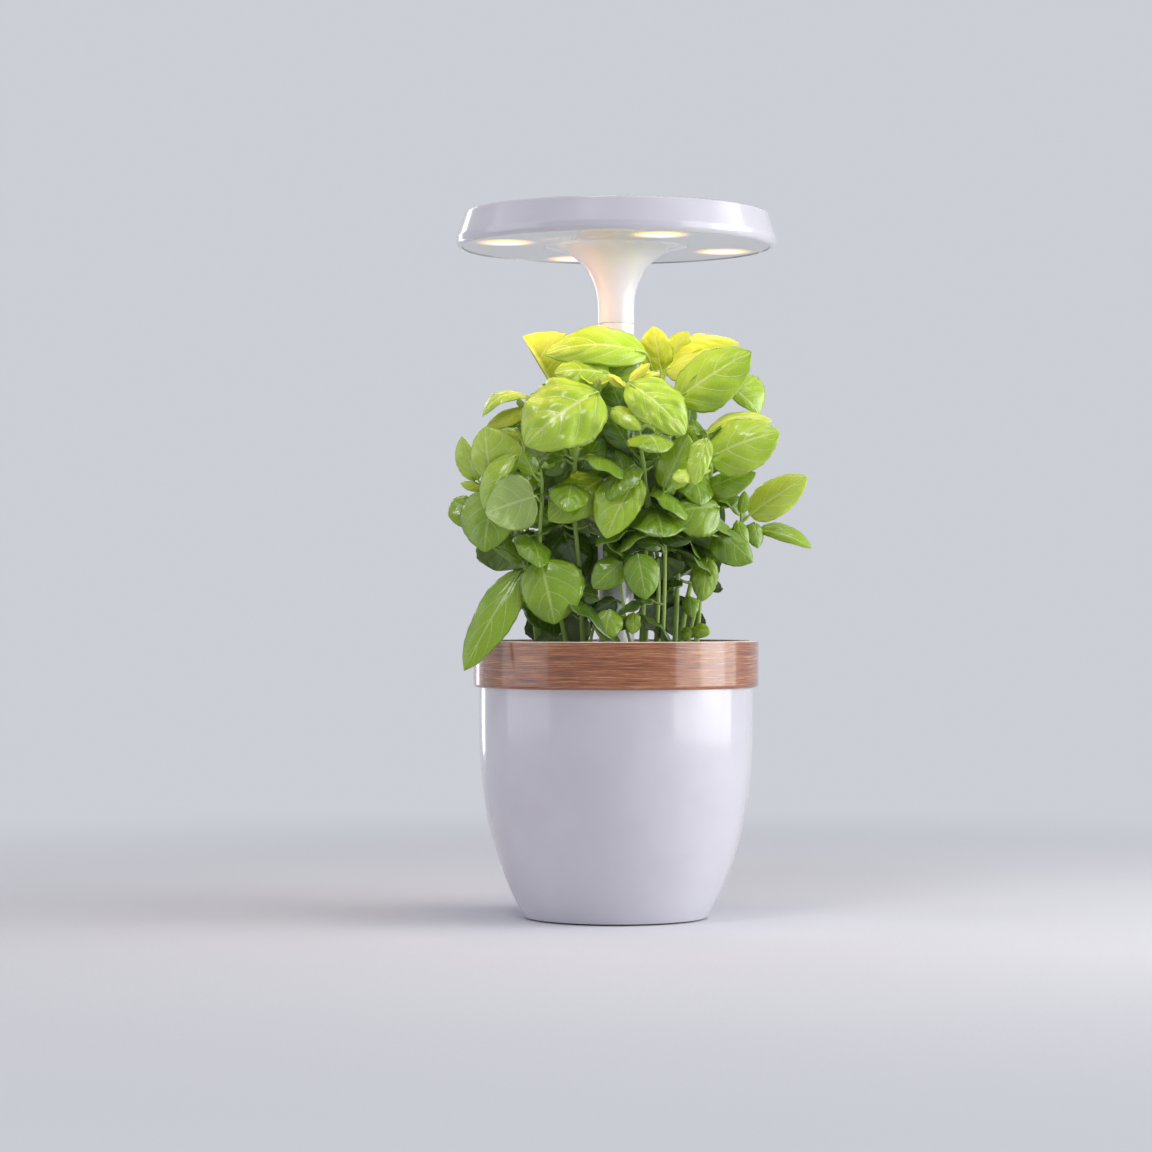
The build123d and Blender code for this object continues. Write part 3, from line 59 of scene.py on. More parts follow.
# ---- Numbers of the leaves and the veneer ----
ROWS, ROUND = 34, 36      # a blade's grid: rows from base to tip, points round each row
WIDEST = 0.4635           # largest value of s^0.46 (1-s)^0.68
FULLNESS = 1.07           # a blade's reach against the table's
THICKNESS = 0.45          # of a blade at its middle
VEIN_PAIRS = 4.0          # side veins on each half
VEIN_LEAN = 0.46          # how far a side vein runs towards the tip, against the blade's length
QUILT, PILLOWS = 0.20, 1.8            # depth of the swells against the reach, and how many lie across a half
RUFFLE, CURL, FOLD = 0.08, 0.3, 0.08  # the margin's waves, its turn down and the sunk midrib, against the reach
UNDER_BLADE = 0.12        # the share of the blade that its stalk runs along
PAIR_FIRST, PAIR_STEP, PAIR_MOST = 34, 22, 7  # pairs of inner leaves: first above the sponge, apart, most on a stem
INNER_SIZE, INNER_SWING = 37, 8       # length of an inner leaf, and how much it varies
FOLIAGE_Z, FOLIAGE_R = (205, 240), (56, 82)   # heights, and the foliage's radius there
COLUMN_CLEAR, TIP_CLEAR, FLOAT_CLEAR = 15, 20, 12  # blade's middle and tip to the axis, blade to the float's tip
RING_SEAM_TURN = 24.5     # where the veneer's ends meet, in degrees past the left

# A plant is (its clump's number, its stem's line, foot radius, top radius, leaves). A leaf is (height where its stalk
# leaves the stem, base, tip, (left reach, right reach), direction its face looks, arch, tone, pucker). Tone is
# painted
# light and shade: it goes from 0, deep green in the shade, to 1, yellow right under the lamp. A leaf that faces away
# shows its underside.
BASIL = [
    (1, [(36, -6), (38, -8, 200), (39, -12, 228), (40, -20, 262), (44, -26, 300), (46, -26, 330)], 1.9, 0.9, [
        (304, (38, -33, 322), (83, -41, 350), (17, 18), (0, -0.92, 0.38), 3, 0.7, 0.6),
        (304, (47, -30, 309), (51, -36, 291), (5, 5), (0.2, -0.9, 0.3), 2, 0.55, 0.3),
        (326, (69, -12, 331), (89, -15, 313), (17, 5), (0.1, -0.95, 0.3), 5, 0.72, 0.4),
    ]),
    (1, [(38, 4), (46, 0, 205), (54, -8, 236), (58, -28, 266), (58, -38, 284), (56, -36, 299)], 1.8, 0.9, [
        (280, (57, -46, 285), (100, -52, 300), (17, 17), (0.05, -0.93, 0.36), 5, 0.72, 0.35),
        (296, (56, -33, 302), (96, -38, 308), (6, 9), (0, -0.75, 0.65), 8, 0.88, 0.3),
        (292, (55, -58, 296), (47, -67, 267), (6, 8), (0, -0.9, 0.4), 2, 0.74, 1.3),
        (278, (47, -62, 275), (34, -70, 271), (5, 5), (0, -0.9, 0.4), 1, 0.8, 1.2),
        (252, (63, -44, 255), (31, -52, 250), (17, 9), (-0.1, -0.93, 0.35), 4, 0.52, 0.4),
        (262, (54, -34, 266), (86, -40, 276), (6, 10), (0.1, -0.9, 0.4), 3, 0.55, 0.4),
        (234, (62, -30, 240), (84, -36, 221), (8, 13), (0.1, -0.93, 0.35), 3, 0.46, 0.3),
        (222, (56, -26, 224), (53, -31, 197), (8, 8), (0.1, -0.95, 0.3), 2, 0.55, 0.3),
        (199, (46, -10, 200), (47, -12, 187), (5, 5), (0, -0.95, 0.2), 1, 0.52, 0.3),
    ]),
    (1, [(42, 8), (52, 6, 200), (64, 0, 232), (82, -4, 250)], 1.6, 0.9, [
        (248, (83, -7, 251), (119, -13, 275), (11, 11), (0.4, -0.8, 0.45), 3, 0.85, 0.3),
        (244, (89, -6, 242), (122, -10, 230), (9, 4), (0.1, -0.85, 0.5), 4, 0.62, 0.2),
        (242, (86, -10, 246), (88, -14, 230), (5, 6), (0.3, -0.85, 0.3), 1, 0.48, 0.3),
        (246, (78, -9, 252), (80, -11, 266), (3, 4), (0, -0.95, 0.2), 1, 0.55, 0.3),
        (240, (75, -16, 247), (80, -20, 229), (5, 4), (0.1, -0.95, 0.3), 1, 0.56, 0.3),
    ]),
    (1, [(50, -6), (49, -14, 176), (48, -16, 181)], 0.9, 0.7, [
        (179, (48, -18, 181), (58, -21, 177), (5, 5), (0.1, -0.9, 0.4), 1, 0.64, 0.2),
        (179, (46, -17, 181), (40, -19, 173), (4, 4), (-0.1, -0.7, 0.7), 1, 0.56, 0.2),
    ]),
    (1, [(50, 7), (54, 12, 220), (54, 10, 286)], 1.6, 0.9, [
        (282, (56, 8, 292), (84, 20, 284), (14, 14), (0.5, 0.5, 0.7), 5, 0.35, 0.5),
        (284, (47, 4, 291), (27, 8, 302), (9, 9), (0, 0.2, 0.95), 4, 0.4, 0.5),
        (250, (57, 2, 256), (78, -2, 262), (9, 9), (0.2, -0.5, 0.85), 3, 0.42, 0.5),
        (228, (62, 12, 234), (84, 26, 224), (12, 12), (0.5, 0.5, 0.7), 4, 0.34, 0.5),
        (208, (57, 14, 214), (62, 30, 203), (9, 9), (0.5, 0.4, 0.7), 3, 0.3, 0.5),
    ]),
    (2, [(18, 34), (22, 30, 230), (26, 14, 290), (28, 0, 338)], 1.9, 0.9, [
        (334, (30, -2, 350), (78, -6, 357), (11, 12), (0, -0.5, 0.87), 9, 0.97, 0.9),
        (334, (31, -6, 345), (45, -10, 365), (8, 8), (0, -0.95, 0.2), 2, 0.95, 0.9),
        (334, (28, -8, 341), (23, -15, 368), (11, 9), (-0.1, -0.95, 0.2), 3, 0.98, 0.8),
        (330, (19, -24, 350), (-44, -30, 349), (12, 16), (0, -0.88, 0.47), 11, 0.72, 0.6),
        (326, (12, -19, 349), (-39, -21, 348), (4, 5), (0, -0.95, 0.3), 3, 0.93, 0.3),
        (328, (31, -12, 341), (67, -24, 350), (9, 12), (0, -0.8, 0.6), 4, 0.9, 0.4),
        (226, (18, 38, 231), (0, 48, 214), (13, 13), (0, 0.9, 0.4), 3, 0.25, 0.5),
        (290, (30, 16, 300), (50, 24, 325), (12, 12), (0.4, 0.5, 0.7), 4, 0.4, 0.5),
        (256, (30, 24, 264), (58, 26, 280), (14, 14), (0.4, 0.3, 0.8), 4, 0.36, 0.5),
    ]),
    (2, [(26, 42), (30, 48, 220), (34, 50, 280), (30, 46, 320)], 1.8, 0.9, [
        (312, (34, 52, 322), (56, 60, 336), (15, 15), (0.3, 0.6, 0.75), 5, 0.55, 0.5),
        (316, (24, 50, 326), (-6, 58, 334), (17, 17), (0, 0.7, 0.7), 6, 0.6, 0.5),
        (286, (40, 54, 294), (74, 60, 290), (18, 18), (0.3, 0.8, 0.5), 6, 0.46, 0.5),
        (286, (28, 56, 294), (3, 66, 272), (19, 19), (0, 0.9, 0.4), 6, 0.42, 0.5),
        (256, (40, 54, 262), (70, 60, 248), (16, 16), (0.3, 0.85, 0.4), 5, 0.36, 0.5),
        (250, (26, 56, 256), (8, 66, 236), (15, 15), (0, 0.9, 0.4), 5, 0.36, 0.5),
        (226, (36, 52, 232), (60, 56, 218), (12, 12), (0.3, 0.85, 0.4), 4, 0.3, 0.5),
        (292, (24, 44, 302), (-8, 42, 316), (13, 13), (0, 0.92, 0.38), 4, 0.52, 0.6),
        (232, (22, 46, 240), (-8, 42, 254), (13, 13), (0, 0.95, 0.3), 4, 0.36, 0.5),
        (200, (30, 52, 206), (14, 58, 195), (9, 9), (0, 0.85, 0.4), 3, 0.3, 0.5),
    ]),
    (3, [(-18, 34), (-22, 28, 230), (-30, 8, 292), (-40, -4, 324)], 1.9, 0.9, [
        (322, (-40, -8, 332), (-58, -12, 362), (1, 26), (-0.1, -0.95, 0.3), 3, 0.88, 0.4),
        (320, (-38, -1, 334), (-34, 4, 363), (9, 9), (0, -1, 0.1), 2, 0.97, 0.4),
        (288, (-34, 12, 297), (-66, 16, 314), (14, 14), (-0.4, 0.4, 0.8), 5, 0.46, 0.5),
        (300, (-30, 0, 308), (-27, -16, 324), (10, 10), (0, -0.3, 0.95), 4, 0.5, 0.5),
        (252, (-30, 22, 260), (-62, 26, 266), (14, 14), (-0.4, 0.3, 0.85), 4, 0.36, 0.5),
        (262, (-32, 12, 268), (-50, 0, 277), (10, 10), (-0.2, -0.2, 0.95), 4, 0.4, 0.5),
        (226, (-20, 34, 231), (-3, 46, 216), (12, 12), (0, 0.9, 0.4), 3, 0.3, 0.5),
    ]),
    (3, [(-26, 42), (-30, 48, 220), (-36, 50, 280), (-33, 44, 316)], 1.8, 0.9, [
        (308, (-38, 48, 316), (-61, 54, 312), (14, 14), (-0.3, 0.6, 0.75), 6, 0.55, 0.5),
        (312, (-30, 36, 326), (-16, 20, 349), (13, 13), (0, 0.3, 0.95), 4, 0.6, 0.5),
        (282, (-42, 54, 290), (-78, 58, 288), (18, 18), (-0.3, 0.8, 0.5), 6, 0.46, 0.5),
        (282, (-32, 56, 288), (-11, 66, 262), (18, 18), (0, 0.9, 0.4), 6, 0.42, 0.5),
        (252, (-40, 54, 262), (-70, 58, 250), (14, 14), (-0.3, 0.85, 0.4), 5, 0.36, 0.5),
        (244, (-30, 54, 250), (-12, 64, 226), (14, 14), (0, 0.9, 0.4), 5, 0.36, 0.5),
        (222, (-36, 52, 228), (-58, 54, 212), (12, 12), (-0.3, 0.85, 0.4), 4, 0.3, 0.5),
        (266, (-26, 46, 274), (6, 44, 286), (14, 14), (0, 0.95, 0.3), 4, 0.42, 0.6),
        (204, (-24, 46, 210), (4, 44, 222), (12, 12), (0, 0.95, 0.3), 4, 0.32, 0.5),
        (198, (-32, 50, 204), (-48, 58, 192), (10, 10), (-0.3, 0.85, 0.4), 3, 0.3, 0.5),
    ]),
    (4, [(-42, -6), (-46, -18, 195), (-56, -34, 222), (-62, -38, 256), (-63, -38, 278)], 1.8, 0.9, [
        (216, (-58, -47, 216), (-92, -64, 155), (12, 12), (-0.15, -0.93, 0.33), 4, 0.56, 0.4),
        (220, (-57, -39, 222), (-80, -42, 237), (5, 9), (-0.1, -0.95, 0.3), 3, 0.48, 0.4),
        (262, (-74, -44, 266), (-80, -50, 227), (15, 19), (-0.2, -0.93, 0.3), 4, 0.52, 0.4),
        (270, (-76, -42, 272), (-80, -46, 304), (11, 20), (-0.25, -0.92, 0.3), 4, 0.78, 0.5),
    ]),
    (4, [(-46, 4), (-54, -2, 210), (-74, -16, 252), (-80, -22, 268)], 1.7, 0.9, [
        (250, (-84, -26, 254), (-103.4, -32, 250), (12, 12), (-0.2, -0.9, 0.4), 3, 0.6, 0.3),
        (266, (-85, -26, 272), (-95, -30, 299), (9, 4), (-0.3, -0.9, 0.2), 3, 0.78, 0.2),
        (262, (-83, -27, 268), (-96, -29, 270), (4, 2.5), (-0.1, -0.9, 0.4), 1, 0.85, 0.2),
        (226, (-66, 2, 244), (-92, 18, 238), (14, 14), (-0.5, 0.5, 0.7), 4, 0.36, 0.5),
        (208, (-60, 4, 213), (-72, 16, 201), (9, 9), (-0.5, 0.4, 0.7), 3, 0.3, 0.5),
    ]),
    (4, [(-48, -4), (-54, -8, 220), (-56, -20, 280), (-53, -30, 316)], 1.7, 0.9, [
        (312, (-54, -36, 323), (-82, -44, 310), (5, 11), (-0.1, -0.6, 0.8), 8, 0.76, 0.4),
        (306, (-57, -36, 315), (-80, -41, 303), (6, 5), (-0.1, -0.9, 0.4), 2, 0.92, 0.3),
        (300, (-58, -31, 311), (-71, -36, 306), (5, 4), (0, -0.9, 0.4), 1, 0.4, 0.3),
        (262, (-62, -4, 280), (-82, 16, 294), (13, 13), (-0.5, 0.3, 0.8), 4, 0.4, 0.5),
        (288, (-58, -12, 296), (-74, -2, 306), (9, 9), (-0.3, 0, 0.95), 4, 0.42, 0.5),
        (236, (-60, -4, 244), (-84, -4, 252), (10, 10), (-0.2, 0, 1), 4, 0.36, 0.5),
    ]),
    (5, [(-20, -36), (-22, -38, 210), (-26, -40, 262), (-22, -42, 300), (-12, -42, 330)], 1.9, 0.9, [
        (318, (-11, -52, 325), (-55, -66, 291), (22, 26), (-0.15, -0.92, 0.36), 7, 0.73, 0.9),
        (326, (-4, -37, 337), (-38, -40, 337), (13, 15), (0, -0.88, 0.47), 4, 0.7, 0.8),
        (320, (-8, -30, 330), (13, -25, 347), (8, 8), (0, -0.95, 0.3), 3, 0.55, 0.6),
        (290, (-20, -34, 292), (0, -30, 306), (9, 9), (0, -0.98, 0.2), 3, 0.3, 0.6),
        (262, (-8, -46, 272), (-41, -55, 246), (14, 15), (-0.1, -0.93, 0.35), 5, 0.62, 0.6),
        (276, (-22, -36, 277), (-8, -33, 300), (9, 9), (0, -0.95, 0.3), 3, 0.36, 0.5),
        (272, (-2, -36, 280), (-19, -38, 272), (5, 5), (0, -0.9, 0.4), 2, 0.3, 0.4),
        (280, (-31, -43, 284), (-48, -46, 277), (8, 7), (0, -0.9, 0.3), 2, 0.34, 0.4),
        (236, (-32, -34, 240), (-20, -36, 211), (12, 18), (0, -0.97, 0.2), 3, 0.2, 0.4),
        (246, (-38, -42, 247), (-53, -44, 256), (8, 8), (0, -0.95, 0.2), 1, 0.42, 0.4),
    ]),
    (5, [(-28, -36), (-36, -40, 196), (-46, -46, 226), (-45, -50, 262), (-46, -50, 278)], 1.8, 0.9, [
        (224, (-46, -54, 222), (-37, -60, 183), (22, 15), (-0.05, -0.95, 0.25), 5, 0.53, 0.3),
        (258, (-49, -62, 261), (-79, -70, 250), (17, 16), (-0.1, 0.9, 0.2), 3, 0.58, 0.3),
        (274, (-60, -54, 286), (-80, -60, 253), (3, 12), (-0.2, -0.9, 0.3), 5, 0.66, 0.3),
        (270, (-50, -55, 274), (-57, -58, 288), (6, 6), (0, -0.95, 0.3), 2, 0.55, 0.3),
    ]),
    (5, [(-18, -42), (-14, -43, 180), (-9, -42, 196)], 1.2, 0.8, [
        (192, (-11, -42, 200), (-24, -44, 203), (6, 6), (0, -0.8, 0.5), 1, 0.25, 0.4),
        (184, (-8, -44, 190), (6, -47, 180), (6, 6), (0, -0.85, 0.5), 1, 0.4, 0.4),
    ]),
    (6, [(15, -38), (17, -40, 200), (19, -42, 255), (14, -42, 300), (7, -42, 328)], 1.9, 0.9, [
        (322, (8, -48, 330), (42, -58, 298), (18, 13), (0.1, -0.9, 0.42), 6, 0.73, 1.3),
        (310, (-2, -50, 315), (15, -60, 301), (6, 6), (-0.1, -0.9, 0.4), 2, 0.73, 0.5),
        (325, (5, -44, 329), (-6, -46, 336), (4, 3), (-0.2, -0.8, 0.6), 1, 0.97, 0.3),
        (325, (8, -40, 331), (21, -42, 343), (4, 3.5), (0.1, -0.8, 0.6), 1, 0.97, 0.3),
        (325, (13, -38, 333), (27, -38, 337), (4, 4), (0.2, -0.8, 0.6), 1, 0.95, 0.3),
        (262, (13, -53, 273), (-6, -66, 235), (11, 18), (-0.05, -0.93, 0.36), 6, 0.67, 0.5),
        (216, (13, -58, 226), (18, -62, 198), (11, 10), (0, -0.95, 0.3), 2, 0.46, 0.4),
        (300, (5, -34, 312), (-6, -26, 338), (9, 9), (0, -1, 0.2), 2, 0.3, 0.5),
        (284, (8, -36, 292), (-10, -34, 318), (9, 10), (0.1, -0.95, 0.3), 3, 0.34, 0.7),
        (276, (8, -34, 282), (-15, -32, 290), (8, 8), (0, -0.97, 0.25), 2, 0.3, 0.6),
        (250, (12, -40, 258), (0, -34, 290), (11, 9), (-0.1, -0.95, 0.3), 3, 0.42, 0.7),
        (200, (10, -44, 212), (-6, -40, 232), (9, 9), (0, -0.9, 0.45), 2, 0.36, 0.5),
    ]),
    (6, [(24, -34), (26, -32, 215), (20, -30, 262), (14, -28, 288)], 1.6, 0.8, [
        (280, (12, -29, 284), (-3, -30, 308), (7, 7), (0, -0.95, 0.3), 3, 0.22, 0.5),
        (280, (15, -28, 285), (19, -27, 305), (3, 11), (0, -0.95, 0.3), 2, 0.26, 0.5),
        (268, (16, -32, 277), (0, -32, 273), (6, 6), (0, -1, 0.2), 1, 0.12, 0.4),
        (236, (18, -29, 246), (-8, -27, 228), (10, 10), (0, -1, 0.1), 2, 0.2, 0.4),
        (228, (12, -36, 234), (2, -38, 229), (4, 4), (0, -0.8, 0.5), 1, 0.25, 0.3),
    ]),
    (6, [(14, -44), (7, -48, 178), (4, -48, 200), (3, -48, 214)], 1.2, 0.7, [
        (210, (3, -52, 221), (-14, -54, 205), (9, 10), (0, -0.95, 0.3), 2, 0.46, 0.4),
        (188, (-4, -53, 192), (-7, -58, 173), (9, 8), (0, -0.95, 0.3), 2, 0.56, 0.3),
        (196, (0, -45, 198), (-13, -45, 191), (6, 5), (0, -0.95, 0.3), 1, 0.2, 0.3),
        (186, (11, -51, 190), (10, -54, 177), (5, 5), (0, -0.9, 0.4), 1, 0.6, 0.3),
    ]),
    (6, [(28, -40), (30, -42, 215), (29, -46, 262)], 1.5, 0.9, [
        (258, (29, -49, 266), (44, -51, 299), (10, 12), (0, -0.95, 0.3), 1, 0.67, 0.4),
        (230, (28, -46, 237), (46, -48, 234), (7, 6), (0, -0.9, 0.5), 2, 0.2, 0.3),
        (226, (28, -47, 231), (12, -50, 233), (5, 5), (0, -0.9, 0.5), 2, 0.2, 0.3),
    ]),
]

# ---- Surfaces ----


def grid_faces(rows, cols):
    """Faces of a grid whose rows are rings: (i, j), (i, j+1), (i+1, j+1), (i+1, j), j counted round the ring, and the
    triangles that join the point before the first ring, then the one after the last, to those rings."""
    ring, turn = np.meshgrid(np.arange(rows - 1), np.arange(cols), indexing="ij")
    after = (turn + 1) % cols
    here, there = ring * cols, (ring + 1) * cols
    quads = np.stack([here + turn, here + after, there + after, there + turn], -1)
    turn, after = np.arange(cols), (np.arange(cols) + 1) % cols
    first, last, tail = rows * cols, rows * cols + 1, (rows - 1) * cols
    start = np.stack([np.full(cols, first), after, turn], -1)
    end = np.stack([np.full(cols, last), tail + turn, tail + after], -1)
    return quads.reshape(-1, 4), np.concatenate([start, end])


def make(name, surfaces, body, replaced):
    """Joins surfaces (points in mm, quads, triangles, values per point) into one mesh in metres, which rides on a
    body and stands for the CAD nodes that it replaces."""
    points, quads, triangles, offset = [], [], [], 0
    for surface in surfaces:
        points.append(surface["points"])
        quads.append(surface["quads"] + offset)
        triangles.append(surface["triangles"] + offset)
        offset += len(surface["points"])
    points, quads, triangles = np.concatenate(points) / 1000, np.concatenate(quads), np.concatenate(triangles)
    corners = np.concatenate([quads.ravel(), triangles.ravel()]).astype(np.int32)
    totals = np.concatenate([np.full(len(quads), 4), np.full(len(triangles), 3)]).astype(np.int32)
    starts = np.concatenate([[0], np.cumsum(totals)[:-1]]).astype(np.int32)
    mesh = bpy.data.meshes.new(name)
    mesh.vertices.add(len(points))
    mesh.vertices.foreach_set("co", points.astype(np.float32).ravel())
    mesh.loops.add(len(corners))
    mesh.loops.foreach_set("vertex_index", corners)
    mesh.polygons.add(len(totals))
    mesh.polygons.foreach_set("loop_start", starts)
    mesh.polygons.foreach_set("loop_total", totals)
    if "uv" in surfaces[0]:
        uv = np.concatenate([surface["uv"] for surface in surfaces])
        mesh.uv_layers.new(name="blade").data.foreach_set("uv", uv[corners].astype(np.float32).ravel())
    for value in surfaces[0].get("values", {}):
        numbers = np.concatenate([surface["values"][value] for surface in surfaces]).astype(np.float32)
        mesh.attributes.new(value, "FLOAT", "POINT").data.foreach_set("value", numbers)
    mesh.polygons.foreach_set("use_smooth", np.full(len(totals), True))
    mesh.update()
    mesh.validate()
    piece = bpy.data.objects.new(name, mesh)
    bpy.context.scene.collection.objects.link(piece)
    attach(piece, body)
    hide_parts(*replaced)
    return piece


def smooth_path(points, count):
    """A cubic through the points: on each span p(u) = a(2u^3-3u^2+1) + b(3u^2-2u^3) + m(u^3-2u^2+u) + n(u^3-u^2),
    where m and n are half the step between the neighbours on either side."""
    points = np.asarray(points, float)
    slopes = np.gradient(points, axis=0)
    place = np.linspace(0, len(points) - 1, count)
    span = np.minimum(place.astype(int), len(points) - 2)
    u = (place - span)[:, None]
    a, b, m, n = points[span], points[span + 1], slopes[span], slopes[span + 1]
    return a * (2 * u**3 - 3 * u**2 + 1) + b * (3 * u**2 - 2 * u**3) + m * (u**3 - 2 * u**2 + u) + n * (u**3 - u**2)


def tube(path, radii, sides, painted_light, squareness=0.0, across=(0, 1, 0)):
    """A profile carried along a path: at angle q round the path the radius is r(1 + k(1 - cos 4q)/2), which with k
    near 0.2 is the rounded square of a basil stem. Both ends are closed to a point."""
    along = np.gradient(path, axis=0)
    along /= np.linalg.norm(along, axis=1, keepdims=True)
    side = np.cross(along, np.asarray(across, float))
    side /= np.linalg.norm(side, axis=1, keepdims=True)
    up = np.cross(side, along)
    turn = np.arange(sides) * 2 * math.pi / sides
    reach = radii[:, None] * (1 + squareness * (1 - np.cos(4 * turn)) / 2)[None, :]
    around = np.cos(turn)[None, :, None] * side[:, None] + np.sin(turn)[None, :, None] * up[:, None]
    points = (path[:, None] + around * reach[:, :, None]).reshape(-1, 3)
    ends = np.stack([path[0] - along[0] * radii[0] * 0.5, path[-1] + along[-1] * radii[-1] * 0.7])
    quads, triangles = grid_faces(len(path), sides)
    return {
        "points": np.concatenate([points, ends]),
        "quads": quads[:, ::-1], "triangles": triangles[:, ::-1],
        "values": {"painted_light": np.full(len(points) + 2, painted_light)},
    }


def unit(vector):
    return vector / np.linalg.norm(vector)


def heading(degrees, rise):
    """The direction at a turn round the axis that goes up by rise for each 1 outwards."""
    turn = math.radians(degrees)
    return np.array([math.cos(turn), math.sin(turn), rise])


def leaf_frame(base, tip, face):
    """Unit directions across the blade and up from it; up is the face's direction made square to the blade's line."""
    along = unit(tip - base)
    up = unit(face - along * face.dot(along))
    return np.cross(along, up), up


def blade(base, tip, reaches, face, arch, painted_light, pucker, phase):
    """A basil blade. With s from base to tip and t from the left margin, -1, to the right one, +1:
    half width   w(s) = s^0.46 (1-s)^0.68 over its largest value, drawn in to a point over the last tenth by
                 1 - 0.45 exp(-(1-s)/0.05), with teeth of 1.5% along the margin;
    point        base + (tip-base)s + up 4 arch s(1-s) + across reach w t - up 0.3 reach w |t|^1.5;
    quilting     the blade swells between its side veins by |sin(4 pi (s - lean(t)))|, least at midrib and margin,
                 where lean(t) = 0.46 |t| (0.55 + 0.45 |t|), and a swell is parted in pillows by
                 0.55 + 0.45 |sin(1.8 pi |t| + 2.2 s + phase)|;
    ruffle       the margin waves by sin(13 s + phase) t^2;
    fold         the blade is drawn down to its midrib by 8% of its reach.
    The ring round each row goes over the upper side and back along the underside, where the midrib stands proud.
    The rows lie closer together towards base and tip."""
    across, up = leaf_frame(base, tip, face)
    step = np.linspace(0, 1, ROWS + 2)[1:-1]
    s = (0.65 * step + 0.35 * (1 - np.cos(math.pi * step)) / 2)[:, None]
    turn = np.arange(ROUND) / (ROUND / 2)
    t = np.where(turn <= 1, 1 - 2 * turn, 2 * turn - 3)[None, :]
    upper = np.where((turn > 0) & (turn < 1), 1.0, np.where(turn > 1, -1.0, 0.0))[None, :]
    out = np.abs(t)
    width = s**0.46 * (1 - s) ** 0.68 / WIDEST * (1 - 0.45 * np.exp((s - 1) / 0.05))
    teeth = 1 + 0.015 * out**6 * np.sin(2 * math.pi * (8 * s + phase))
    reach = FULLNESS * np.where(t < 0, reaches[0], reaches[1])
    mean_reach = sum(reaches) / 2
    lift = 4 * arch * s * (1 - s) - CURL * reach * width * out**1.5
    lean = VEIN_LEAN * out * (0.55 + 0.45 * out)
    pillow = 0.55 + 0.45 * np.abs(np.sin(PILLOWS * math.pi * out + 2.2 * s + phase))
    swell = np.abs(np.sin(VEIN_PAIRS * math.pi * (s - lean))) ** 0.7 * pillow - 0.42
    lift = lift + pucker * QUILT * mean_reach * swell * out**0.5 * (1 - t**4) * np.sqrt(width)
    lift = lift + RUFFLE * mean_reach * (0.5 + pucker) * t**2 * width * np.sin(13 * s + phase)
    rib, fold = np.exp(-((t / 0.07) ** 2)) * (1.1 - s), np.exp(-((t / 0.16) ** 2)) * (1 - s)
    lift = lift + upper * THICKNESS / 2 * (1 - t**6) * np.sqrt(width) - 0.55 * rib * (upper < 0)
    lift = lift - FOLD * mean_reach * fold
    middle = base + (tip - base) * s[:, :, None]
    points = middle + across * (reach * width * teeth * t)[:, :, None] + up * lift[:, :, None]
    quads, triangles = grid_faces(ROWS, ROUND)
    uv = np.stack(np.broadcast_arrays(s, t / 2 + 0.5), -1).reshape(-1, 2)
    under = np.broadcast_to(upper < 0, (ROWS, ROUND)).astype(float).ravel()
    return {
        "points": np.concatenate([points.reshape(-1, 3), [base, tip]]),
        "quads": quads, "triangles": triangles,
        "uv": np.concatenate([uv, [(0, 0.5), (1, 0.5)]]),
        "values": {"painted_light": np.full(len(under) + 2, painted_light), "under": np.concatenate([under, [0.5, 0.5]])},
    }


def stalk(start, base, tip, face, arch, painted_light):
    """A leaf stalk: a cubic from the stem that sags a little, runs along under the midrib and thins into it."""
    up = leaf_frame(base, tip, face)[1]
    under = base + (tip - base) * UNDER_BLADE + up * (4 * arch * UNDER_BLADE * (1 - UNDER_BLADE) - 0.7)
    sag = np.array([0, 0, -0.06 * np.linalg.norm(under - start)])
    bends = [start, start + (base - start) * 0.5 + sag, base - up * 0.5, under]
    path = smooth_path(bends, 14)
    across = np.eye(3)[np.argmin(np.abs(path[-1] - path[0]))]
    return tube(path, np.linspace(1.05, 0.55, 14), 8, painted_light, across=across)


def on_stem(points, z):
    """The point of a stem's line at a height, by straight steps between its points."""
    points = np.asarray(points, float)
    return np.array([np.interp(z, points[:, 2], points[:, axis]) for axis in range(3)])


def clump(number):
    """The blades of one clump as one piece, and its stems and stalks as another. A stem swells where a stalk
    leaves it."""
    blades, stems = [], []
    plants = [plant[1:] for plant in BASIL if plant[0] == number]
    for rank, (line, foot_r, top_r, leaves) in enumerate(plants):
        line = [(*point, SPONGE_TOP_Z) if len(point) == 2 else point for point in line]
        path = smooth_path(line, 8 * len(line))
        joints = np.array([leaf[0] for leaf in leaves])[None, :]
        knots = np.exp(-(((path[:, 2:3] - joints) / 2.2) ** 2)).max(axis=1)
        radii = np.linspace(foot_r, top_r, len(path)) * (0.86 + 0.25 * knots)
        stems.append(tube(path, radii, 12, 0.55, squareness=0.22))
        for place, (node_z, base, tip, reaches, face, arch, painted_light, pucker) in enumerate(leaves):
            base, tip, face = np.array([base, tip, face], float)
            blades.append(blade(base, tip, reaches, face, arch, painted_light, pucker, 1.7 * place + number + rank))
            stems.append(stalk(on_stem(line, node_z), base, tip, face, arch, painted_light))
        more_blades, more_stalks = inner_leaves(number, rank, line)
        blades += more_blades + young_leaves(number, rank, line[-1])
        stems += more_stalks
    cad = f"basil_{number}"
    return (
        make(f"basil_leaves_{number}", blades, "planter", [cad]),
        make(f"basil_stems_{number}", stems, "planter", [cad]),
    )


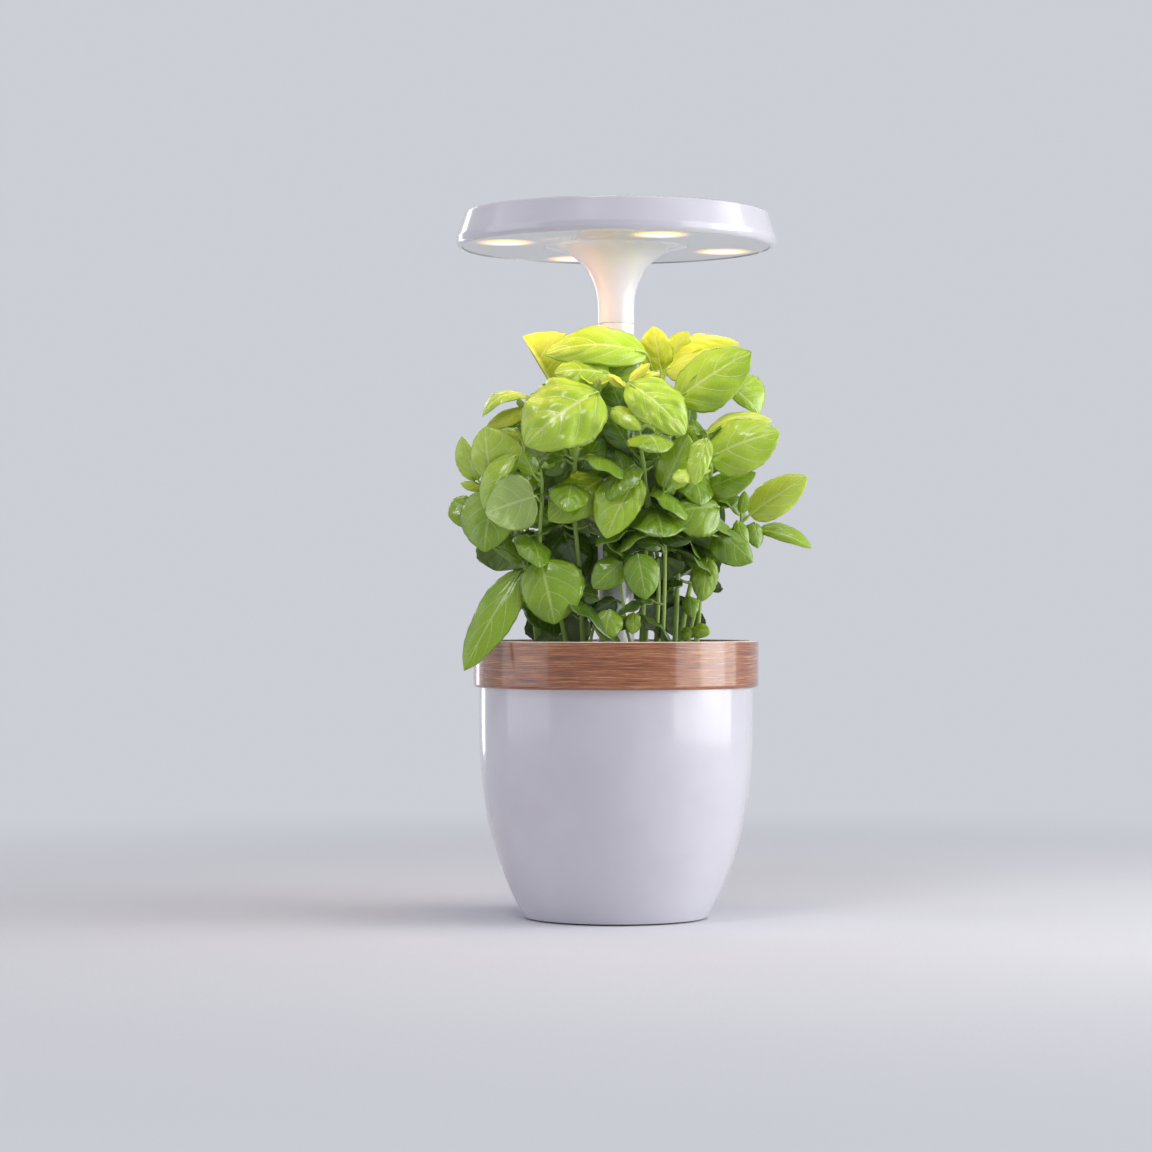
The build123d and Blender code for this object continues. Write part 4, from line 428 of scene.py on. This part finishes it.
def inner_leaves(number, rank, line):
    """The smaller leaves inside the clump. Pair n of a plant leaves the stem at 34 mm above the sponge plus 22 n mm,
    round the column and away from it by turns, 29 to 45 mm long, drooping, its face outwards. A blade is left out
    where it would meet the column or the float's tip, or stand out of the foliage, which widens above 205 mm."""
    blades, stalks = [], []
    for step in range(PAIR_MOST):
        z = SPONGE_TOP_Z + PAIR_FIRST + PAIR_STEP * step + 7 * math.sin(2.3 * rank + number + step)
        if z > line[-1][2] - 14:
            break
        root = on_stem(line, z)
        outer_r = np.interp(z, FOLIAGE_Z, FOLIAGE_R)
        wander = 24 * math.sin(5 * step + 2 * rank + number)
        for half in (0, 1):
            out = heading(60 * (number - 1) + 90 * (step + 1) + 180 * half + wander, 0.35)
            size = INNER_SIZE + INNER_SWING * math.sin(1.9 * step + 2.7 * rank + number + 3 * half)
            reach = size * 0.41
            droop = 0.75 + 0.25 * math.sin(3 * step + 2 * half + rank)
            base = root + out * 9
            tip = base + np.array([out[0], out[1], -droop]) * 0.72 * size
            face = np.array([out[0] * 0.8 + 0.2 * math.sin(7 * step + rank), out[1] * 0.8, 0.6])
            middle = (base + tip) / 2
            middle_r, tip_r = np.hypot(*middle[:2]), np.hypot(*tip[:2])
            if middle_r < COLUMN_CLEAR + reach * 0.8 or not TIP_CLEAR <= tip_r <= outer_r:
                continue
            if tip[2] < 200 and np.hypot(*(middle[:2] - FLOAT_TIP)) < FLOAT_CLEAR + reach:
                continue
            # Painted light and shade: darker near the column and low down, yellower outwards and up towards the lamp.
            painted_light = 0.05 + 0.30 * min(1.0, middle_r / 70) + 0.36 * (middle[2] - 190) / 150
            blades.append(blade(base, tip, (reach, reach), face, 4.0, painted_light, 0.6, step + rank))
            stalks.append(stalk(root, base, tip, face, 4.0, painted_light))
    return blades, stalks


def young_leaves(number, rank, top):
    """Four young leaves of 9 and 13 mm on top of a stem that is taller than 250 mm, clear of the column."""
    blades = []
    for place in range(4):
        size, lean_out = (13.0, 0.9) if place % 2 else (9.0, 0.45)
        out = heading(90 * place + 30 * rank + 20 * number, 0.0)
        base = np.array(top, float) + (out + (0, 0, 0.4)) * 1.2
        tip = base + (out * lean_out + (0, 0, 0.55)) * size * 0.8
        face = out * -0.5 + (0, 0, 1.0)
        if top[2] > 250 and np.hypot(*tip[:2]) > TIP_CLEAR:
            # Painted lamp light: the higher the stem's top stands, nearer the lamp, the yellower its young leaves.
            painted_light = 0.5 + 0.45 * (top[2] - 250) / 80
            blades.append(blade(base, tip, (size * 0.3, size * 0.3), face, -1.0, painted_light, 0.4, place))
    return blades


def sponge(number):
    """A plug of open foam: a turned profile r(h), pulled in at its foot and sunk in a cone round the stems, whose
    radius wavers by 2% with sin 5q and sin 9q, q being the turn."""
    heights = np.array([0.0, 0.0, 0.4, 3, 10, 20, 30, 35, 36.6, 37, 37, 36.4, 35.4, 34.4])[:, None]
    radii = np.array([3.0, 8.2, 8.9, 9.2, 9.7, 10.5, 11.3, 11.7, 11.6, 10.9, 8, 5, 3, 1.4])[:, None]
    sides = 40
    turn = np.arange(sides) * 2 * math.pi / sides
    reach = radii * (1 + 0.012 * np.sin(5 * turn + heights) + 0.008 * np.sin(9 * turn - heights))
    x, y, _ = CUP_PCR * heading(60 * (number - 1), 0)
    z = np.broadcast_to(SPONGE_FOOT_Z + heights, reach.shape)
    points = np.stack([x + reach * np.cos(turn), y + reach * np.sin(turn), z], -1).reshape(-1, 3)
    quads, triangles = grid_faces(len(heights), sides)
    ends = [(x, y, SPONGE_FOOT_Z), (x, y, SPONGE_FOOT_Z + 34.2)]
    surface = {"points": np.concatenate([points, ends]), "quads": quads, "triangles": triangles}
    piece = make(f"damp_sponge_{number}", [surface], "planter", [f"grow_sponge_{number}"])
    return piece


# ---- Shader tools ----


def tint(code):
    """A hex colour in the linear values that the shaders take."""
    parts = [int(code[n : n + 2], 16) / 255 for n in (1, 3, 5)]
    return tuple(p / 12.92 if p <= 0.04045 else ((p + 0.055) / 1.055) ** 2.4 for p in parts) + (1.0,)


BLACK = tint("#000000")


def put(tree, kind, sockets=None, **settings):
    """Adds a node; a socket is given a number, a colour or another node's output."""
    new = tree.nodes.new("ShaderNode" + kind)
    for key, value in settings.items():
        setattr(new, key, value)
    for key, value in (sockets or {}).items():
        if isinstance(value, bpy.types.NodeSocket):
            tree.links.new(value, new.inputs[key])
        else:
            new.inputs[key].default_value = value
    return new


def wire(tree, shader, **outputs):
    """Links outputs to the shader's sockets; Base_Color stands for "Base Color"."""
    for key, output in outputs.items():
        tree.links.new(output, shader[key.replace("_", " ")])


def maths(tree, operation, a, b=None, c=None):
    given = {place: value for place, value in enumerate((a, b, c)) if value is not None}
    return put(tree, "Math", given, operation=operation).outputs[0]


def times(tree, a, b):
    return maths(tree, "MULTIPLY", a, b)


def plus(tree, a, b):
    return maths(tree, "ADD", a, b)


def minus(tree, a, b):
    return maths(tree, "SUBTRACT", a, b)


def ramp(tree, factor, stops):
    """A colour that goes from stop to stop: (place, hex colour)."""
    new = put(tree, "ValToRGB", {"Fac": factor})
    for number, (place, code) in enumerate(stops):
        stop = new.color_ramp.elements[number] if number < 2 else new.color_ramp.elements.new(place)
        stop.position, stop.color = place, tint(code)
    return new.outputs[0]


def between(tree, value, low, high, start=0.0, end=1.0):
    """A smooth step from start, where the value is low, to end, where it is high."""
    span = {"Value": value, "From Min": low, "From Max": high, "To Min": start, "To Max": end}
    return put(tree, "MapRange", span, interpolation_type="SMOOTHSTEP").outputs[0]


def mix(tree, share, a, b):
    """The colour a, with a share of the colour b."""
    return put(tree, "Mix", {0: share, 6: a, 7: b}, data_type="RGBA").outputs[2]


def noise(tree, point, scale, detail=3.0, roughness=0.5):
    sockets = {"Vector": point, "Scale": scale, "Detail": detail, "Roughness": roughness}
    return put(tree, "TexNoise", sockets).outputs["Fac"]


def relief(tree, height, strength, distance):
    """A shading normal from a height: distance is its depth in metres."""
    return put(tree, "Bump", {"Height": height, "Strength": strength, "Distance": distance}).outputs[0]


def place_mm(tree):
    """Object coordinates in millimetres."""
    coordinates = put(tree, "TexCoord").outputs["Object"]
    return put(tree, "VectorMath", {0: coordinates, 1: (1000, 1000, 1000)}, operation="MULTIPLY").outputs[0]


def mapped(tree, **change):
    """Object coordinates in millimetres, turned by Rotation or drawn out by Scale."""
    return put(tree, "Mapping", {"Vector": place_mm(tree), **change}).outputs[0]


def split(tree, vector):
    return put(tree, "SeparateXYZ", {0: vector}).outputs


def attribute(tree, name):
    return put(tree, "Attribute", attribute_name=name).outputs["Fac"]


def group(name, inputs, outputs, build):
    """A node group: inputs are (name, default), outputs are names, and build gives the outputs' sockets."""
    tree = bpy.data.node_groups.new(name, "ShaderNodeTree")
    for label, default in inputs:
        socket = tree.interface.new_socket(label, in_out="INPUT", socket_type="NodeSocketFloat")
        socket.default_value = default
    for label in outputs:
        tree.interface.new_socket(label, in_out="OUTPUT", socket_type="NodeSocketFloat")
    start, end = tree.nodes.new("NodeGroupInput"), tree.nodes.new("NodeGroupOutput")
    for label, socket in zip(outputs, build(tree, start.outputs)):
        tree.links.new(socket, end.inputs[label])
    return tree


def use(tree, shared, **values):
    """Adds a node group and gives its inputs their numbers; Grain_per_mm stands for "Grain per mm"."""
    new = tree.nodes.new("ShaderNodeGroup")
    new.node_tree = shared
    for key, value in values.items():
        new.inputs[key.replace("_", " ")].default_value = value
    return new.outputs


# ---- Effects that several finishes share ----


def build_moulded(tree, given):
    """Fine moulded texture and slow waves of a wall: a height, and a wear value that changes from place to place."""
    fine, slow = noise(tree, place_mm(tree), given["Grain per mm"]), noise(tree, place_mm(tree), 0.035, 2.0)
    height = plus(tree, times(tree, fine, given["Grain"]), times(tree, slow, given["Waves"]))
    return height, between(tree, slow, 0.3, 0.7)


def build_round_lights(tree, given):
    """The distance in mm from the middle of the nearest of four round lights that stand on a circle."""
    parts = split(tree, mapped(tree, Rotation=(0, 0, -math.radians(LENS_ANGLE))))
    x, y = maths(tree, "ABSOLUTE", parts[0]), maths(tree, "ABSOLUTE", parts[1])
    out = minus(tree, maths(tree, "MAXIMUM", x, y), LENS_PCR)
    beside = maths(tree, "MINIMUM", x, y)
    return (maths(tree, "SQRT", plus(tree, times(tree, out, out), times(tree, beside, beside))),)


def build_veins(tree, given):
    """A basil blade's veins from its UV (s, (t+1)/2): the midrib at t = 0, side veins where 4(s - lean(t)) is whole,
    a fine net between them, and the margin."""
    parts = split(tree, put(tree, "UVMap", uv_map="blade").outputs[0])
    s, across = parts[0], maths(tree, "ABSOLUTE", maths(tree, "MULTIPLY_ADD", parts[1], 2.0, -1.0))
    midrib = between(tree, across, 0.015, 0.07, 1.0, 0.0)
    lean = times(tree, across, maths(tree, "MULTIPLY_ADD", across, 0.45 * VEIN_LEAN, 0.55 * VEIN_LEAN))
    side = maths(tree, "PINGPONG", times(tree, minus(tree, s, lean), VEIN_PAIRS), 0.5)
    fade = between(tree, across, 0.55, 0.97, 1.0, 0.15)
    side = times(tree, between(tree, side, 0.01, 0.05, 1.0, 0.0), fade)
    net = put(tree, "TexVoronoi", {"Vector": place_mm(tree), "Scale": 0.42}, feature="DISTANCE_TO_EDGE").outputs[0]
    net = between(tree, net, 0.02, 0.13, 1.0, 0.0)
    return maths(tree, "MAXIMUM", midrib, side), net, between(tree, across, 0.9, 1.0)


MOULDED_INPUTS = [("Grain per mm", 2.0), ("Grain", 0.5), ("Waves", 1.0)]
MOULDED = group("moulded_surface", MOULDED_INPUTS, ["Height", "Wear"], build_moulded)
ROUND_LIGHTS = group("round_lights", [], ["Distance"], build_round_lights)
VEINS = group("leaf_veins", [], ["Veins", "Net", "Edge"], build_veins)

# ---- Finishes ----

WOOD_STOPS = [(0.37, "#521e06"), (0.44, "#7a3812"), (0.50, "#9a5426"), (0.56, "#bc7844"), (0.63, "#e2b080")]
# Leaf, vein and stem colours follow the painted light and shade: deep green in the shade, yellow under the lamp.
LEAF_STOPS = [
    (0.0, "#203408"), (0.15, "#38530c"), (0.30, "#557810"), (0.45, "#739a10"), (0.60, "#8eb20e"), (0.70, "#a6ca24"),
    (0.80, "#bad844"), (0.88, "#cadc40"), (1.0, "#dae02c"),
]
VEIN_STOPS = [(0.0, "#4c6428"), (0.3, "#8eaa54"), (0.6, "#c6dc7e"), (0.8, "#e6f0a4"), (1.0, "#f2f294")]
STEM_STOPS = [(0.1, "#5f8030"), (0.45, "#91b350"), (0.7, "#b2cf58"), (1.0, "#d0de56")]
LENS_STOPS = [(0.0, "#fffdf4"), (0.62, "#fff8e0"), (0.84, "#ffdf94"), (1.0, "#f0a040")]


def finish(name, build, **constants):
    """A material: constants go on the shader's own sockets, and build links what changes over the surface."""
    material = bpy.data.materials.new(name)
    material.use_nodes = True
    tree = material.node_tree
    shader = tree.nodes["Principled BSDF"]
    for key, value in constants.items():
        shader.inputs[key.replace("_", " ")].default_value = value
    build(tree, shader.inputs)
    return material


def moulding(colour, worn, roughness, spread, grain_per_mm, grain, waves, bump):
    """Moulded plastic: a colour that drifts a little, a roughness that follows the wear and a fine surface."""

    def build(tree, shader):
        out = use(tree, MOULDED, Grain_per_mm=grain_per_mm, Grain=grain, Waves=waves)
        wire(
            tree, shader,
            Base_Color=ramp(tree, out["Wear"], [(0, colour), (1, worn)]),
            Roughness=between(tree, out["Wear"], 0, 1, roughness, roughness + spread),
            Normal=relief(tree, out["Height"], bump, 0.0002),
        )

    return build


def build_wood(tree, shader):
    """Streaked veneer wound round the ring: its grain runs round, from the turn round the axis and the height, and
    across its top. Fine pores lie along it, and its two ends meet in a dark line at the left."""
    parts = split(tree, place_mm(tree))
    from_seam = split(tree, mapped(tree, Rotation=(0, 0, math.radians(-RING_SEAM_TURN))))
    turn = maths(tree, "ARCTAN2", from_seam[1], from_seam[0])
    along = times(tree, turn, RING_R)
    flat = put(tree, "CombineXYZ", {0: parts[0], 1: parts[1]}).outputs[0]
    radius = put(tree, "VectorMath", {0: flat}, operation="LENGTH").outputs["Value"]
    down = minus(tree, parts[2], minus(tree, RING_R, radius))

    def streaks(rise, lengthwise, crosswise, layer, detail, roughness):
        """Noise drawn out along the grain, with its scales per mm along and across it."""
        places = {0: times(tree, along, lengthwise), 1: times(tree, rise, crosswise), 2: layer}
        return noise(tree, put(tree, "CombineXYZ", places).outputs[0], 1.0, detail, roughness)

    rise = plus(tree, down, times(tree, streaks(down, 0.012, 0.05, 0.0, 2.0, 0.5), 5.0))
    broad = streaks(rise, 0.010, 0.55, 0.0, 4.0, 0.62)
    fine = streaks(rise, 0.045, 2.3, 7.0, 5.0, 0.7)
    pore = between(tree, streaks(rise, 0.30, 5.5, 3.0, 3.0, 0.5), 0.60, 0.72)
    grain = plus(tree, times(tree, broad, 0.28), times(tree, fine, 0.72))
    colour = mix(tree, times(tree, pore, 0.35), ramp(tree, grain, WOOD_STOPS), tint("#4a2214"))
    to_seam = minus(tree, math.pi, maths(tree, "ABSOLUTE", turn))
    colour = mix(tree, between(tree, to_seam, 0.0035, 0.0085, 0.9, 0.0), colour, tint("#2c140c"))
    # A pale cream band on the top edge: partly the ring's own cream edge, partly painted lamp light.
    cream_edge_and_lamp_light = between(tree, parts[2], RING_TOP_Z - 0.75, RING_TOP_Z - 0.3)
    colour = mix(tree, times(tree, cream_edge_and_lamp_light, 0.9), colour, tint("#f6e4cc"))
    height = minus(tree, times(tree, grain, 0.6), times(tree, pore, 0.5))
    rough = between(tree, grain, 0.35, 0.65, 0.30, 0.42)
    wire(tree, shader, Base_Color=colour, Roughness=rough, Normal=relief(tree, height, 0.12, 0.0002))


def build_leaf(tree, shader):
    """Basil blade: colour by its painted light and shade, paler veins, margin and underside, mottling, and a painted
    glow, an emission that grows with the painted light, for light that shows through near the lamp."""
    painted_light, under, veins = attribute(tree, "painted_light"), attribute(tree, "under"), use(tree, VEINS)
    mottle = noise(tree, place_mm(tree), 0.075)
    shaded = plus(tree, painted_light, maths(tree, "MULTIPLY_ADD", mottle, 0.22, -0.11))
    colour, vein_colour = ramp(tree, shaded, LEAF_STOPS), ramp(tree, shaded, VEIN_STOPS)
    for part, share in (("Net", 0.10), ("Veins", 0.7), ("Edge", 0.25)):
        colour = mix(tree, times(tree, veins[part], share), colour, vein_colour)
    colour = mix(tree, times(tree, under, 0.75), colour, mix(tree, 0.42, colour, tint("#b9c79a")))
    raised = maths(tree, "MULTIPLY_ADD", veins["Veins"], maths(tree, "MULTIPLY_ADD", under, 1.6, -0.9), 0.5)
    raised = plus(tree, raised, times(tree, veins["Net"], -0.25))
    wire(
        tree, shader,
        Base_Color=colour,
        Roughness=plus(tree, between(tree, mottle, 0.35, 0.65, 0.34, 0.46), times(tree, under, 0.2)),
        Normal=relief(tree, raised, 0.35, 0.0006),
        # Painted glow: the blade's own colour as emission where its painted light is high.
        Emission_Color=mix(tree, between(tree, painted_light, 0.6, 1.0), BLACK, colour),
    )


def build_stem(tree, shader):
    """Basil stem: colour by its painted light and shade, streaked along its length, with painted shade at the foot,
    and a painted glow, an emission, for a little light through it near the lamp."""
    painted_light = attribute(tree, "painted_light")
    streak = noise(tree, mapped(tree, Scale=(1.0, 1.0, 0.12)), 0.9)
    colour = mix(tree, between(tree, streak, 0.4, 0.7, 0.0, 0.4), ramp(tree, painted_light, STEM_STOPS), tint("#c4d884"))
    # Painted shade: the stem goes darker from 200 mm down to the sponge, under the foliage.
    foot = between(tree, split(tree, place_mm(tree))[2], 160, 200, 0.3, 0.0)
    colour = mix(tree, foot, colour, tint("#5f7038"))
    wire(
        tree, shader,
        Base_Color=colour,
        Roughness=between(tree, streak, 0.3, 0.7, 0.35, 0.5),
        Normal=relief(tree, streak, 0.3, 0.0003),
        # Painted glow: the stem's own colour as emission where its painted light is high.
        Emission_Color=mix(tree, between(tree, painted_light, 0.6, 0.9), BLACK, colour),
    )


def build_sponge(tree, shader):
    """Damp open foam: dark cells, painted shade in its open pores, with paler walls between them."""
    cells = put(tree, "TexVoronoi", {"Vector": place_mm(tree), "Scale": 1.1}, feature="DISTANCE_TO_EDGE").outputs[0]
    wall = between(tree, cells, 0.03, 0.2, 1.0, 0.0)
    colour, rough = mix(tree, wall, tint("#1c130c"), tint("#4c3a2a")), between(tree, wall, 0, 1, 0.9, 0.6)
    wire(tree, shader, Base_Color=colour, Roughness=rough, Normal=relief(tree, wall, 0.8, 0.0006))


def build_under_cover(tree, shader):
    """The lamp's mirror-gloss lower face: its white is painted grey as shade, and a painted glow of warm light
    spreads out from the four openings.
    """
    away = use(tree, ROUND_LIGHTS)["Distance"]
    out = use(tree, MOULDED, Grain_per_mm=0.3, Grain=0.1, Waves=0.6)
    # Painted shade: the white cover is given a mid grey for its shaded lower face.
    base = ramp(tree, out["Wear"], [(0, "#a09ea2"), (1, "#acaaae")])
    # Painted glow: warm light painted round each opening, into the colour and the emission.
    warm = between(tree, away, LENS_R - 0.5, LENS_R + 9, 1.0, 0.0)
    warm = times(tree, warm, warm)
    wire(
        tree, shader,
        Base_Color=mix(tree, times(tree, warm, 0.6), base, tint("#ffd9a0")),
        Emission_Color=mix(tree, warm, BLACK, tint("#ffc070")),
        Roughness=between(tree, out["Wear"], 0, 1, 0.03, 0.06),
        Normal=relief(tree, out["Height"], 0.04, 0.0002),
    )


def build_lens(tree, shader):
    """A lit lens: white at its middle, with a warm amber band towards its edge."""
    away = use(tree, ROUND_LIGHTS)["Distance"]
    colour = ramp(tree, maths(tree, "DIVIDE", away, LENS_R), LENS_STOPS)
    wire(tree, shader, Base_Color=colour, Emission_Color=colour, Roughness=between(tree, away, 0, LENS_R, 0.08, 0.2))


def build_brushed(tree, shader):
    """Metal drawn along the height: fine lines, and a height from them."""
    line = noise(tree, mapped(tree, Scale=(1.0, 1.0, 0.04)), 2.5)
    colour, rough = ramp(tree, line, [(0.3, "#8f9092"), (0.7, "#c4c5c7")]), between(tree, line, 0.3, 0.7, 0.22, 0.36)
    wire(tree, shader, Base_Color=colour, Roughness=rough, Normal=relief(tree, line, 0.1, 0.0001))


def build_board(mask, copper):
    """A circuit board: a lacquer that is a shade lighter over its tracks, which run square to each other."""

    def build(tree, shader):
        lacquer, track = tint(mask), tint(copper)
        tracks = put(tree, "TexBrick", {
            "Vector": place_mm(tree), "Color1": lacquer, "Color2": lacquer, "Mortar": track, "Scale": 0.16,
            "Mortar Size": 0.05, "Mortar Smooth": 0.3,
        }).outputs
        wear = use(tree, MOULDED, Grain_per_mm=3.0, Grain=0.3, Waves=0.3)["Wear"]
        wire(
            tree, shader,
            Base_Color=tracks["Color"],
            Roughness=between(tree, wear, 0, 1, 0.32, 0.45),
            Normal=relief(tree, tracks["Fac"], 0.2, 0.0001),
        )

    return build


GLOSS = {"Coat_Weight": 0.8, "Coat_Roughness": 0.09, "Coat_IOR": 1.45}
SHEEN = {"Coat_Weight": 1.0, "Coat_Roughness": 0.17, "Specular_IOR_Level": 0.2}
# For each slot: name, colour, worn colour, roughness and its spread, grain per mm, grain, waves, bump, and what else
# the shader takes.
MOULDINGS = {
    "pot_white": ("pot_gloss_white", "#d8d6de", "#dcdae2", 0.16, 0.05, 1.5, 0.05, 1.0, 0.05, GLOSS),
    "rubber": ("black_rubber", "#17171a", "#222226", 0.62, 0.15, 2.5, 0.8, 0.4, 0.3, {}),
    "black_plastic": ("black_moulding", "#131315", "#1b1b1e", 0.42, 0.1, 3.0, 0.7, 0.3, 0.25, {}),
    "lead": ("lead_sheath", "#18181b", "#202024", 0.38, 0.1, 1.5, 0.3, 0.6, 0.15, {}),
    "deck_white": ("deck_white", "#d8d8dc", "#dedee2", 0.34, 0.08, 2.5, 0.5, 0.6, 0.12, {}),
    "float_foam": ("closed_foam", "#d8d4c6", "#e2ded2", 0.75, 0.1, 1.2, 1.0, 0.6, 0.5, {}),
    "signal_red": ("signal_red", "#b81e14", "#c4281c", 0.22, 0.08, 2.0, 0.2, 0.5, 0.06, {"Coat_Weight": 0.5}),
    "column_white": ("column_coat", "#e4e3e8", "#eae9ee", 0.16, 0.05, 2.0, 0.15, 0.6, 0.05, GLOSS),
    "bush": ("bush_moulding", "#bdbdb6", "#c8c8c2", 0.45, 0.1, 2.5, 0.4, 0.4, 0.12, {}),
    "lamp_white": ("lamp_gloss_white", "#d8d6de", "#dcdae2", 0.15, 0.05, 1.5, 0.05, 0.7, 0.04, GLOSS),
    "led": ("phosphor", "#f2c640", "#f7d65c", 0.4, 0.1, 2.0, 0.5, 0.4, 0.1, {"Emission_Strength": 2.0}),
    "button": ("satin_button", "#cfced4", "#d8d7dc", 0.3, 0.08, 2.5, 0.3, 0.4, 0.08, {}),
    "cup_plastic": ("cup_moulding", "#cfcfd2", "#dadadd", 0.4, 0.1, 2.5, 0.6, 0.5, 0.15, {}),
}
finishes = {slot: finish(name, moulding(*numbers), **more) for slot, (name, *numbers, more) in MOULDINGS.items()}
finishes |= {
    "wood": finish("streaked_veneer", build_wood, Coat_Weight=1.0, Coat_Roughness=0.12, Coat_IOR=1.58),
    "steel": finish("brushed_steel", build_brushed, Metallic=1.0),
    "board": finish("green_board", build_board("#0d4a22", "#1c6b34")),
    "board_white": finish("white_board", build_board("#e8e8e2", "#d6d6cc")),
    "under_cover": finish("mirror_gloss_white", build_under_cover, Emission_Strength=0.8, **GLOSS),
    "lens": finish("lit_lens", build_lens, Emission_Strength=1.6, Coat_Weight=1.0),
    "heat_plate": finish("rolled_sheet", build_brushed, Metallic=1.0),
    "sponge": finish("damp_foam", build_sponge),
}
leaf_finish = finish("basil_blade", build_leaf, Emission_Strength=0.05, **SHEEN)
stem_finish = finish("basil_stem", build_stem, Coat_Weight=0.1, Emission_Strength=0.12)


def dress(piece, material):
    piece.data.materials.clear()
    piece.data.materials.append(material)


for entry in frame["record"]["subparts"]:
    dress(nodes[entry["node"]], finishes.get(entry["material_slot"], leaf_finish))

# ---- Pieces ----

for number in range(1, CUP_COUNT + 1):
    leaves_piece, stems_piece = clump(number)
    dress(leaves_piece, leaf_finish)
    dress(stems_piece, stem_finish)
for number in range(1, CUP_COUNT + 1):
    dress(sponge(number), finishes["sponge"])

# ---- Floor, lights and camera, in metres ----

FLOOR_R, FLOOR_RINGS, FLOOR_SIDES = 4.0, 24, 64
BACKDROP, AMBIENT = (0.60, 0.62, 0.67, 1), (0.21, 0.21, 0.25, 1)
STUDIO = {  # place, aim, size, watts, colour
    "front_soft": ((-0.38, -0.82, 1.55), (0, 0, 0.25), (0.38, 0.38), 3.8, (1.0, 0.99, 1.0)),
    "right_soft": ((1.22, -0.25, 0.3), (0, 0, 0.2), (1.5, 1.7), 17.5, (0.98, 0.99, 1.0)),
    "right_strip": ((1.12, -0.17, 0.43), (0, 0, 0.43), (0.5, 0.65), 3.0, (1.0, 0.99, 0.97)),
    "left_fill": ((-1.4, -0.3, 0.5), (0, 0, 0.22), (1.3, 1.4), 5.0, (0.97, 0.97, 1.0)),
    "left_edge": ((-0.84, 1.24, 0.4), (0, 0, 0.22), (0.22, 1.4), 2.5, (0.97, 0.98, 1.0)),
    "top_soft": ((0.15, -0.25, 1.5), (0, 0, 0.2), (0.9, 0.9), 4.0, (1.0, 0.99, 0.96)),
}
LAMP_GLOWS = [  # watts and colour of the light under each lens
    (0.060, (1.0, 0.95, 0.86)), (0.070, (1.0, 0.86, 0.68)), (0.09, (1.0, 0.64, 0.38)), (0.060, (1.0, 0.90, 0.76)),
]
LAMP_GLOW_Z = (LAMP_FACE_Z - 2.2) / 1000  # just under the lenses


def floor():
    """A round floor: rings at r = 4 (n / 24)^2 metres, one point in the middle."""
    rings = FLOOR_R * (np.arange(1, FLOOR_RINGS + 1) / FLOOR_RINGS) ** 2
    turn = np.arange(FLOOR_SIDES) * 2 * math.pi / FLOOR_SIDES
    points = np.stack(np.broadcast_arrays(rings[:, None] * np.cos(turn), rings[:, None] * np.sin(turn), 0.0), -1)
    quads, triangles = grid_faces(FLOOR_RINGS, FLOOR_SIDES)
    faces = quads[:, ::-1].tolist() + triangles[:FLOOR_SIDES, ::-1].tolist()
    mesh = bpy.data.meshes.new("floor")
    mesh.from_pydata(points.reshape(-1, 3).tolist() + [(0, 0, 0)], [], faces)
    piece = bpy.data.objects.new("floor", mesh)
    bpy.context.scene.collection.objects.link(piece)
    return piece


def seen(tree):
    """1 for rays that the camera, a gloss or a clear part sends out, 0 for the light that falls on the surfaces."""
    rays = put(tree, "LightPath").outputs
    both = maths(tree, "MAXIMUM", rays["Is Camera Ray"], rays["Is Glossy Ray"])
    return maths(tree, "MAXIMUM", both, rays["Is Transmission Ray"])


def build_floor(tree, shader):
    """Pale matt board that goes over into the pale backdrop away from the object."""
    away = put(tree, "VectorMath", {0: put(tree, "TexCoord").outputs["Object"]}, operation="LENGTH").outputs["Value"]
    far = times(tree, between(tree, away, 0.22, 1.15), seen(tree))
    board = ramp(tree, noise(tree, place_mm(tree), 0.4), [(0.3, "#e6e6ea"), (0.7, "#eaeaee")])
    wire(tree, shader, Base_Color=mix(tree, far, board, BLACK), Emission_Color=mix(tree, far, BLACK, BACKDROP))


def softbox(name, place, aim, size, watts, colour):
    light = bpy.data.lights.new(name, "AREA")
    light.shape, light.size, light.size_y = "RECTANGLE", size[0], size[1]
    light.energy, light.color = watts, colour
    lamp = bpy.data.objects.new(name, light)
    bpy.context.scene.collection.objects.link(lamp)
    lamp.location = place
    lamp.rotation_euler = (Vector(aim) - Vector(place)).to_track_quat("-Z", "Y").to_euler()
    return lamp


def glow(name, place, aim, width, watts, colour):
    """A small light that isn't seen itself and rides on the lamp head."""
    lamp = softbox(name, place, aim, (width, width), watts, colour)
    lamp.visible_camera = lamp.visible_glossy = False
    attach(lamp, "lamp_head")
    return lamp


dress(floor(), finish("pale_board", build_floor, Roughness=0.7, Specular_IOR_Level=0.0, Emission_Strength=1.0))

world = bpy.data.worlds.new("studio")
bpy.context.scene.world = world
world.use_nodes = True
sky = world.node_tree
wire(sky, sky.nodes["Background"].inputs, Color=mix(sky, seen(sky), AMBIENT, BACKDROP))

for name, settings in STUDIO.items():
    softbox(name, *settings)
for number, (watts, colour) in enumerate(LAMP_GLOWS):
    x, y, _ = LENS_PCR / 1000 * heading(LENS_ANGLE + 90 * number, 0)
    glow(f"lamp_light_{number + 1}", (x, y, LAMP_GLOW_Z), (x, y, 0), 0.026, watts, colour).data.shape = "DISK"
glow("lens_spill", (-0.045, -0.055, 0.408), (0, 0, 0.372), 0.02, 0.016, (1.0, 0.56, 0.28))

camera = bpy.data.cameras.new("camera")
camera.lens, camera.sensor_width, camera.clip_start, camera.clip_end = 100.8, 36.0, 0.05, 50
eye = bpy.data.objects.new("camera", camera)
bpy.context.scene.collection.objects.link(eye)
eye.location = (0, -2.016, 0.19365)
eye.rotation_euler = Euler((math.radians(90 + 0.551), 0, math.radians(0.710)))
bpy.context.scene.camera = eye
bpy.context.scene.view_settings.view_transform = "Standard"
